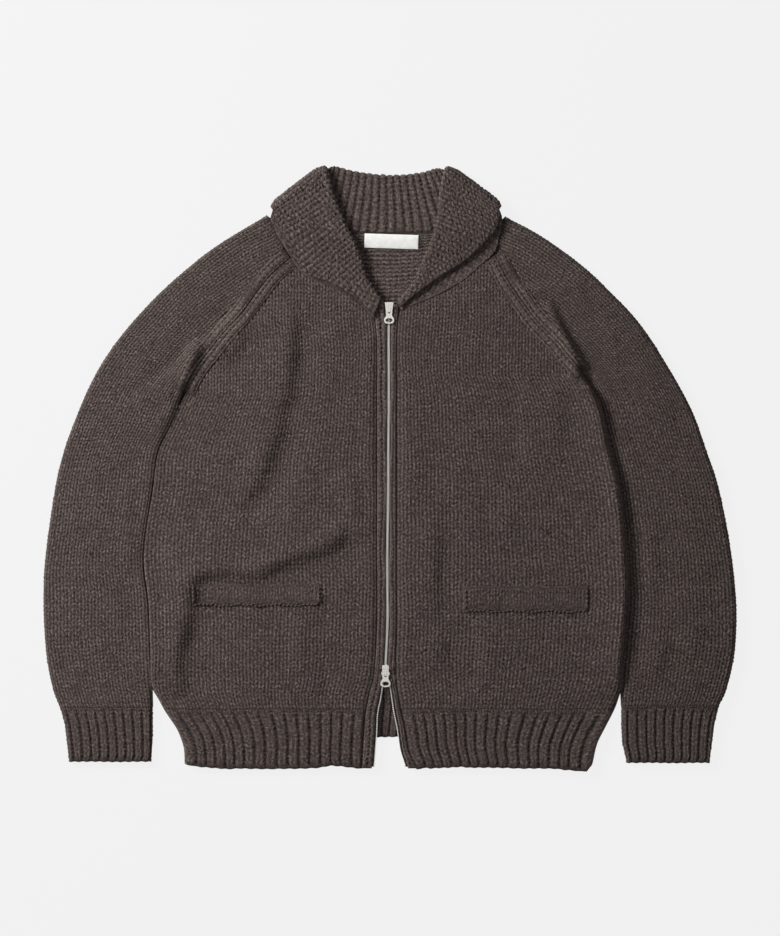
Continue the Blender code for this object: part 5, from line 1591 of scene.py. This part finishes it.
class CARDIGAN_OT_collar(bpy.types.Operator):
    """Knit the folded shawl collar in beaded rib"""

    bl_idname = "cardigan.collar"
    bl_label = "Shawl collar"

    def execute(self, context):
        sizes = sizes_of(context)
        grid, room, from_roll, turns = collar_grid(COLLAR_RIB, sizes.collar_bead)
        spread_from = BEADS_SHOULDER * turns[None] / math.pi - BEADS_FROM
        share = smoothstep((from_roll[:, None] - spread_from) / BEADS_RUN)
        outer, height = knitted(grid, room, COLLAR_RIB, COLLAR_WALE, sizes.collar_bead,
                                other=BEADS, share=share)
        picked = np.ix_(every(2, len(grid)), every(2, grid.shape[1]))
        turned = relief(COLLAR_RIB, np.arange(grid.shape[1]) / COLLAR_RIB["columns"] + 0.5,
                        np.arange(len(grid)) / COLLAR_RIB["rows"])[picked]
        turned = turned * np.clip(room[picked] / 3, 0, 1)
        inner = grid[picked][..., :3] - (KNIT + 0.7 * turned)[..., None] * grid[picked][..., 3:]
        places = pattern_places(grid, COLLAR_RIB, COLLAR_WALE, sizes.course)
        part = shell((outer, inner), height, (places, places[picked]), under=1 + turned / 2.5)
        # The collar's wool is painted darker, as shade.
        collar = cloth_object("collar_rib", [part], wool("Heather wool collar painted shade", COLLAR_SHADE))
        put_on(collar, "cardigan", "wool_rib", "collar")
        return {"FINISHED"}


class CARDIGAN_OT_pockets(bpy.types.Operator):
    """Knit the pocket welts and sew them down"""

    bl_idname = "cardigan.pockets"
    bl_label = "Pocket welts"

    def execute(self, context):
        sizes = sizes_of(context)
        for side in SIDES:
            outer_x, inner_x, top_y, bottom_y = WELT[side]
            left, right = sorted((outer_x, inner_x))
            columns = round((right - left) / sizes.wale) * STOCKING["columns"]
            rows = int((top_y - bottom_y) / sizes.course * STOCKING["rows"])
            x, y = np.meshgrid(np.linspace(left, right, columns + 1),
                               np.linspace(bottom_y, top_y, rows + 1))
            from_edge = np.minimum.reduce([x - left, right - x, y - bottom_y, top_y - y])
            base = heights_over(SMOOTH_FACES[f"front_{side}"])(x, y)
            near = np.clip(from_edge / WELT_ROUND, 0, 1)
            rounded = np.sqrt(near * (2 - near))
            wedge = WELT_LOW + WELT_HIGHER * (y - bottom_y) / (top_y - bottom_y)
            grid = flat_grid(x, y, base + WELT_GAP + wedge * rounded)
            part = knit_shell(grid, from_edge + 1.0, STOCKING, sizes.wale, sizes.course,
                              wall=0.0, coarse=(1, 1))
            part[0][-base.size:, 2] = base.ravel() + WELT_FOOT
            welt = cloth_object(f"welt_{side}_knit", [part], wool())
            put_on(welt, "cardigan", "wool_knit", f"welt_{side}")
            ends = []
            for k in range(int((right - left) / WELT_STITCH)):
                start = left + 1.5 + WELT_STITCH * k
                low = bottom_y - 0.6 + 0.9 * math.sin(0.7 * k) + 0.5 * math.sin(1.9 * k)
                ends.append(((start, low - 0.8), (start + WELT_STITCH_LENGTH, low + 1.0)))
            for k in range(WELT_END_STITCHES):
                for edge in (left + 1.2, right - 1.2):
                    start = bottom_y + 3 + k * (top_y - bottom_y - 5) / WELT_END_STITCHES
                    ends.append(((edge, start), (edge + 0.6, start + 4.6)))
            over = heights_over(grid)
            placed = []
            for (ax, ay), (bx, by) in ends:
                z = float(over((ax + bx) / 2, max((ay + by) / 2, bottom_y + 0.2))) + 0.4
                placed.append(((ax, ay, z), (bx, by, z)))
            sewing = capsules(f"welt_{side}_sewing", placed, 1.0, wool())
            put_on(sewing, "cardigan", "wool_knit")
        return {"FINISHED"}


class CARDIGAN_OT_zip(bpy.types.Operator):
    """Make the knitted zip bands, the woven tapes and the two chains of teeth"""

    bl_idname = "cardigan.zip"
    bl_label = "Zip bands, tapes and teeth"

    def execute(self, context):
        sizes = sizes_of(context)
        tooth = self.tooth()
        for side in SIDES:
            self.band(side, sizes)
            self.tape(side)
            self.chain(side, sizes, tooth)
        bpy.data.meshes.remove(tooth)
        return {"FINISHED"}

    def band(self, side, sizes):
        """The knitted strip beside the zip, cut back for the slider and the open end."""
        sign = SIGN[side]
        rows = int((BAND_TOP[side] - HEM_BOTTOM) / sizes.course * STOCKING["rows"])
        profiles, bottoms = [], []
        for y in np.linspace(HEM_BOTTOM, BAND_TOP[side], rows):
            clear = BAND_CLEAR + (SLIDER_CLEAR - BAND_CLEAR) * beside_slider("top", y)
            over = beside_slider("bottom", y)
            clear -= HIDDEN_CLOSER * hidden_teeth(y)
            clear += SPLIT_CLEAR * float(smoothstep((SPLIT_TOP - y) / 15))
            clear += BAND_WAVE * math.sin(2 * math.pi * y / BAND_WAVE_LENGTH) * (1 - over)
            zip_x = float(CHAIN_X[side](y)) + sign * clear
            seam_x = float(BAND_X[side](y)) - sign * SEAM / 2
            if side == "right" and y > BAND_SLANT_FROM:
                zip_x = min(zip_x, BAND_SLANT_X - BAND_SLANT * (y - BAND_SLANT_FROM))
            lift = BAND_RISE * float(smoothstep((y - BAND_RISE_FROM) / BAND_RISE_RUN))
            floor = BAND[0] + lift + over * (SLIDER_TOP + 0.1 - BAND[0])
            ceiling = BAND[1] + lift - 0.2 * over + BAND_HIGHER[side] * (1 - over)
            radius = min(2.0 - 1.2 * over, abs(seam_x - zip_x) / 2 - 0.2)
            angles = np.linspace(0, math.pi / 2, 6)
            turn = np.column_stack([np.cos(angles), np.sin(angles)])
            seam_side = [(seam_x - sign * radius * (1 - c), ceiling - radius * (1 - s), sign * c, s)
                         for c, s in turn]
            zip_side = [(zip_x + sign * radius * (1 - c), ceiling - radius * (1 - s), -sign * c, s)
                        for c, s in turn[::-1]]
            outline = [(seam_x, floor, sign, 0), *seam_side, *zip_side, (zip_x, floor, -sign, 0)]
            profiles.append(np.array([(x, y, z, nx, 0, nz) for x, z, nx, nz in outline]))
            bottoms.append([(seam_x, y, floor + 0.1), (zip_x, y, floor + 0.1)])
        lengths, widths = measured(profiles)
        count = round(widths.mean() / BAND_WALE) * BORDER["columns"]
        grid, room = lay_out(profiles, lengths, widths[:, None] / count * np.arange(count + 1)[None])
        outer, height = knitted(grid, room, BORDER, BAND_WALE, sizes.course)
        marks = pattern_places(grid, BORDER, BAND_WALE, sizes.course)
        inner = np.array(bottoms)[::6]
        part = shell((outer, inner), height, (marks, marks[::6, :2]))
        band = cloth_object(f"band_{side}_knit", [part], wool())
        put_on(band, "cardigan", "wool_knit", f"band_{side}")

    def tape(self, side):
        """The woven tape that carries one side's teeth."""
        sign = SIGN[side]
        heights = np.linspace(HEM_BOTTOM + 2, TAPE_TOP, 240)
        x = CHAIN_X[side](heights)
        upper = np.array([[(px + sign * d, y, TAPE[1]) for d in TAPE_POINTS]
                          for px, y in zip(x, heights)])
        lower = upper - (0, 0, TAPE[1] - TAPE[0])
        marks = np.zeros((*upper.shape[:2], 2))
        part = shell((upper, lower), np.ones(upper.shape[:2]), (marks, marks))
        tape = cloth_object(f"zip_tape_{side}", [part], tape_material("Twill zip tape"))
        put_on(tape, "cardigan", "zip_tape", f"zip_{side}")

    def tooth(self):
        """One zip tooth, a small block with its edges taken off, about the origin."""
        bpy.ops.object.select_all(action="DESELECT")
        bpy.ops.mesh.primitive_cube_add(size=1)
        block = bpy.context.object
        block.scale = (*TOOTH, CHAIN[1] - CHAIN[0])
        bpy.ops.object.transform_apply(scale=True)
        soften = block.modifiers.new("Edges", "BEVEL")
        soften.width, soften.segments = TOOTH_EDGE, 1
        bpy.ops.object.modifier_apply(modifier=soften.name)
        mesh = block.data
        bpy.data.objects.remove(block)
        return mesh

    def chain(self, side, sizes, tooth):
        """One side's teeth, in a row along the inner edge of its tape."""
        sign = SIGN[side]
        corner = np.empty(len(tooth.vertices) * 3)
        tooth.vertices.foreach_get("co", corner)
        corner = corner.reshape(-1, 3)
        ring = [tuple(face.vertices) for face in tooth.polygons]
        start = TEETH_FROM + (sizes.tooth_pitch / 2 if side == "left" else 0)
        points, faces = [], []
        for k, y in enumerate(np.arange(start, TEETH_TOP, sizes.tooth_pitch)):
            x, nearby = CHAIN_X[side](np.array([y, y + 1]))
            lean = math.atan(nearby - x)
            c, s = math.cos(lean), math.sin(lean)
            centre = x + sign * (TOOTH[0] / 2 - TEETH_MEET)
            turned = np.column_stack([c * corner[:, 0] + s * corner[:, 1],
                                      c * corner[:, 1] - s * corner[:, 0], corner[:, 2]])
            points.append(turned + (centre, y, sum(CHAIN) / 2))
            faces += [tuple(v + k * len(corner) for v in face) for face in ring]
        points = np.concatenate(points) * MM
        mesh = bpy.data.meshes.new(f"zip_teeth_{side}")
        mesh.from_pydata(points.tolist(), [], faces)
        mesh.shade_smooth()
        mesh.set_sharp_from_angle(angle=math.radians(50))
        mesh.materials.append(bpy.data.materials.get("Tumbled nickel teeth")
                              or metal_material("Tumbled nickel teeth", 0.25, 0.25,
                                                ("#f2f0eb", "#fbfaf6")))
        put_on(placed_object(mesh.name, mesh), "cardigan", "zip_metal")


class CARDIGAN_OT_sliders(bpy.types.Operator):
    """Finish both sliders and their pull tabs in bright metal"""

    bl_idname = "cardigan.sliders"
    bl_label = "Sliders and pulls"

    def execute(self, context):
        metal = bpy.data.materials.get("Bright nickel") or metal_material("Bright nickel")
        for name in ("slider_top", "slider_bottom", "pull_top", "pull_bottom"):
            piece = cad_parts[name]
            for place in piece.material_slots:
                place.material = metal
        return {"FINISHED"}


class CARDIGAN_OT_label(bpy.types.Operator):
    """Weave the blank neck label and sew it to the inside of the back"""

    bl_idname = "cardigan.label"
    bl_label = "Neck label"

    def execute(self, context):
        centre_x, centre_y, width, height, turn = LABEL
        across, up = np.meshgrid(np.linspace(-width / 2, width / 2, 61),
                                 np.linspace(-height / 2, height / 2, 25))
        c, s = math.cos(math.radians(turn)), math.sin(math.radians(turn))
        x, y = centre_x + c * across - s * up, centre_y + s * across + c * up
        from_edge = np.minimum(width / 2 - abs(across), height / 2 - abs(up))
        floor = KNIT + neck_rise(x, y)
        pucker = 0.16 * np.cos(across / 1.15) * np.exp(-(((from_edge - 1.3) / 1.4) ** 2))
        ease = 0.3 * np.clip(from_edge / 4, 0, 1) + 0.12 * np.sin(across / 9) * np.cos(up / 5)
        upper = np.stack([x, y, floor + 0.75 + pucker + ease], -1)
        lower = np.stack([x, y, floor + 0.3], -1)
        marks = np.stack([across, up], -1) / 10
        satin = label_material("Woven label ribbon")
        part = shell((upper, lower), np.ones(x.shape), (marks, marks))
        label = cloth_object("label_woven", [part], satin)
        put_on(label, "cardigan", "label_weave", "label")
        ends = []
        half_width, half_height = width / 2 - LABEL_INSET, height / 2 - LABEL_INSET
        for edge in (-half_height, half_height):
            ends += [((a, edge), (a + LABEL_STITCH_LENGTH, edge))
                     for a in np.arange(-half_width, half_width - 1, LABEL_STITCH)]
        for edge in (-half_width, half_width):
            ends += [((edge, a), (edge, a + LABEL_STITCH_LENGTH))
                     for a in np.arange(-half_height, half_height - 1, LABEL_STITCH)]
        placed = []
        for pair in ends:
            points = []
            for a, b in pair:
                px, py = centre_x + c * a - s * b, centre_y + s * a + c * b
                points.append((px, py, KNIT + float(neck_rise(px, py)) + 0.95))
            placed.append(points)
        sewing = capsules("label_sewing", placed, 0.2, satin)
        put_on(sewing, "cardigan", "label_weave")
        return {"FINISHED"}


class CARDIGAN_OT_stage(bpy.types.Operator):
    """Lay the floor and set the lights and the camera straight above"""

    bl_idname = "cardigan.stage"
    bl_label = "Floor, lights and camera"

    def execute(self, context):
        scene = context.scene
        bpy.ops.object.select_all(action="DESELECT")
        bpy.ops.mesh.primitive_plane_add(size=FLOOR_SIZE, location=(0, 0, FLOOR_HEIGHT))
        floor = context.object
        floor.name = "floor"
        floor.data.materials.append(floor_material("Pale paper", tuple(sizes_of(context).floor)))
        world = bpy.data.worlds.new("Soft room")
        world.use_nodes = True
        background = world.node_tree.nodes["Background"]
        background.inputs["Color"].default_value = (1, 1, 1, 1)
        background.inputs["Strength"].default_value = ROOM_LIGHT
        scene.world = world
        for name, power, size, place in (("Key light", KEY_POWER, KEY_SIZE, KEY_PLACE),
                                         ("Top light", TOP_POWER, TOP_SIZE, (0, 0, TOP_HEIGHT))):
            light = bpy.data.lights.new(name, "AREA")
            light.energy, light.size = power, size
            lamp = placed_object(name, light)
            lamp.location = place
            lamp.rotation_euler = Vector(place).to_track_quat("Z", "Y").to_euler()
        lens = bpy.data.cameras.new("Camera")
        lens.sensor_fit = "VERTICAL"
        lens.sensor_height = SENSOR
        lens.lens = SENSOR * CAMERA_HEIGHT / FRAME_HEIGHT
        lens.clip_end = 20
        camera = placed_object("Camera", lens)
        camera.location = (0, FRAME_MIDDLE_Y, CAMERA_HEIGHT)
        scene.camera = camera
        scene.view_settings.view_transform = "Standard"
        return {"FINISHED"}


STEPS = (CARDIGAN_OT_body, CARDIGAN_OT_sleeves, CARDIGAN_OT_collar, CARDIGAN_OT_pockets,
         CARDIGAN_OT_zip, CARDIGAN_OT_sliders, CARDIGAN_OT_label, CARDIGAN_OT_stage)


class CARDIGAN_PT_panel(bpy.types.Panel):
    """Sizes, colours and steps of the cardigan"""

    bl_idname = "CARDIGAN_PT_panel"
    bl_label = "Cowichan cardigan"
    bl_space_type = "VIEW_3D"
    bl_region_type = "UI"
    bl_category = "Cardigan"

    def draw(self, context):
        column = self.layout.column()
        for name in CardiganSizes.__annotations__:
            column.prop(sizes_of(context), name)
        for step in STEPS:
            column.operator(step.bl_idname)


def register():
    """Makes the add-on's sizes, steps and panel known."""
    for made in (CardiganSizes, *STEPS, CARDIGAN_PT_panel):
        bpy.utils.register_class(made)
    bpy.types.Scene.cardigan_sizes = PointerProperty(type=CardiganSizes)


def unregister():
    """Takes them away again."""
    del bpy.types.Scene.cardigan_sizes
    for made in (CARDIGAN_PT_panel, *STEPS[::-1], CardiganSizes):
        bpy.utils.unregister_class(made)


def main():
    """Makes the add-on known and runs every step."""
    register()
    for step in STEPS:
        family, name = step.bl_idname.split(".")
        getattr(getattr(bpy.ops, family), name)()


if __name__ == "__main__":
    main()
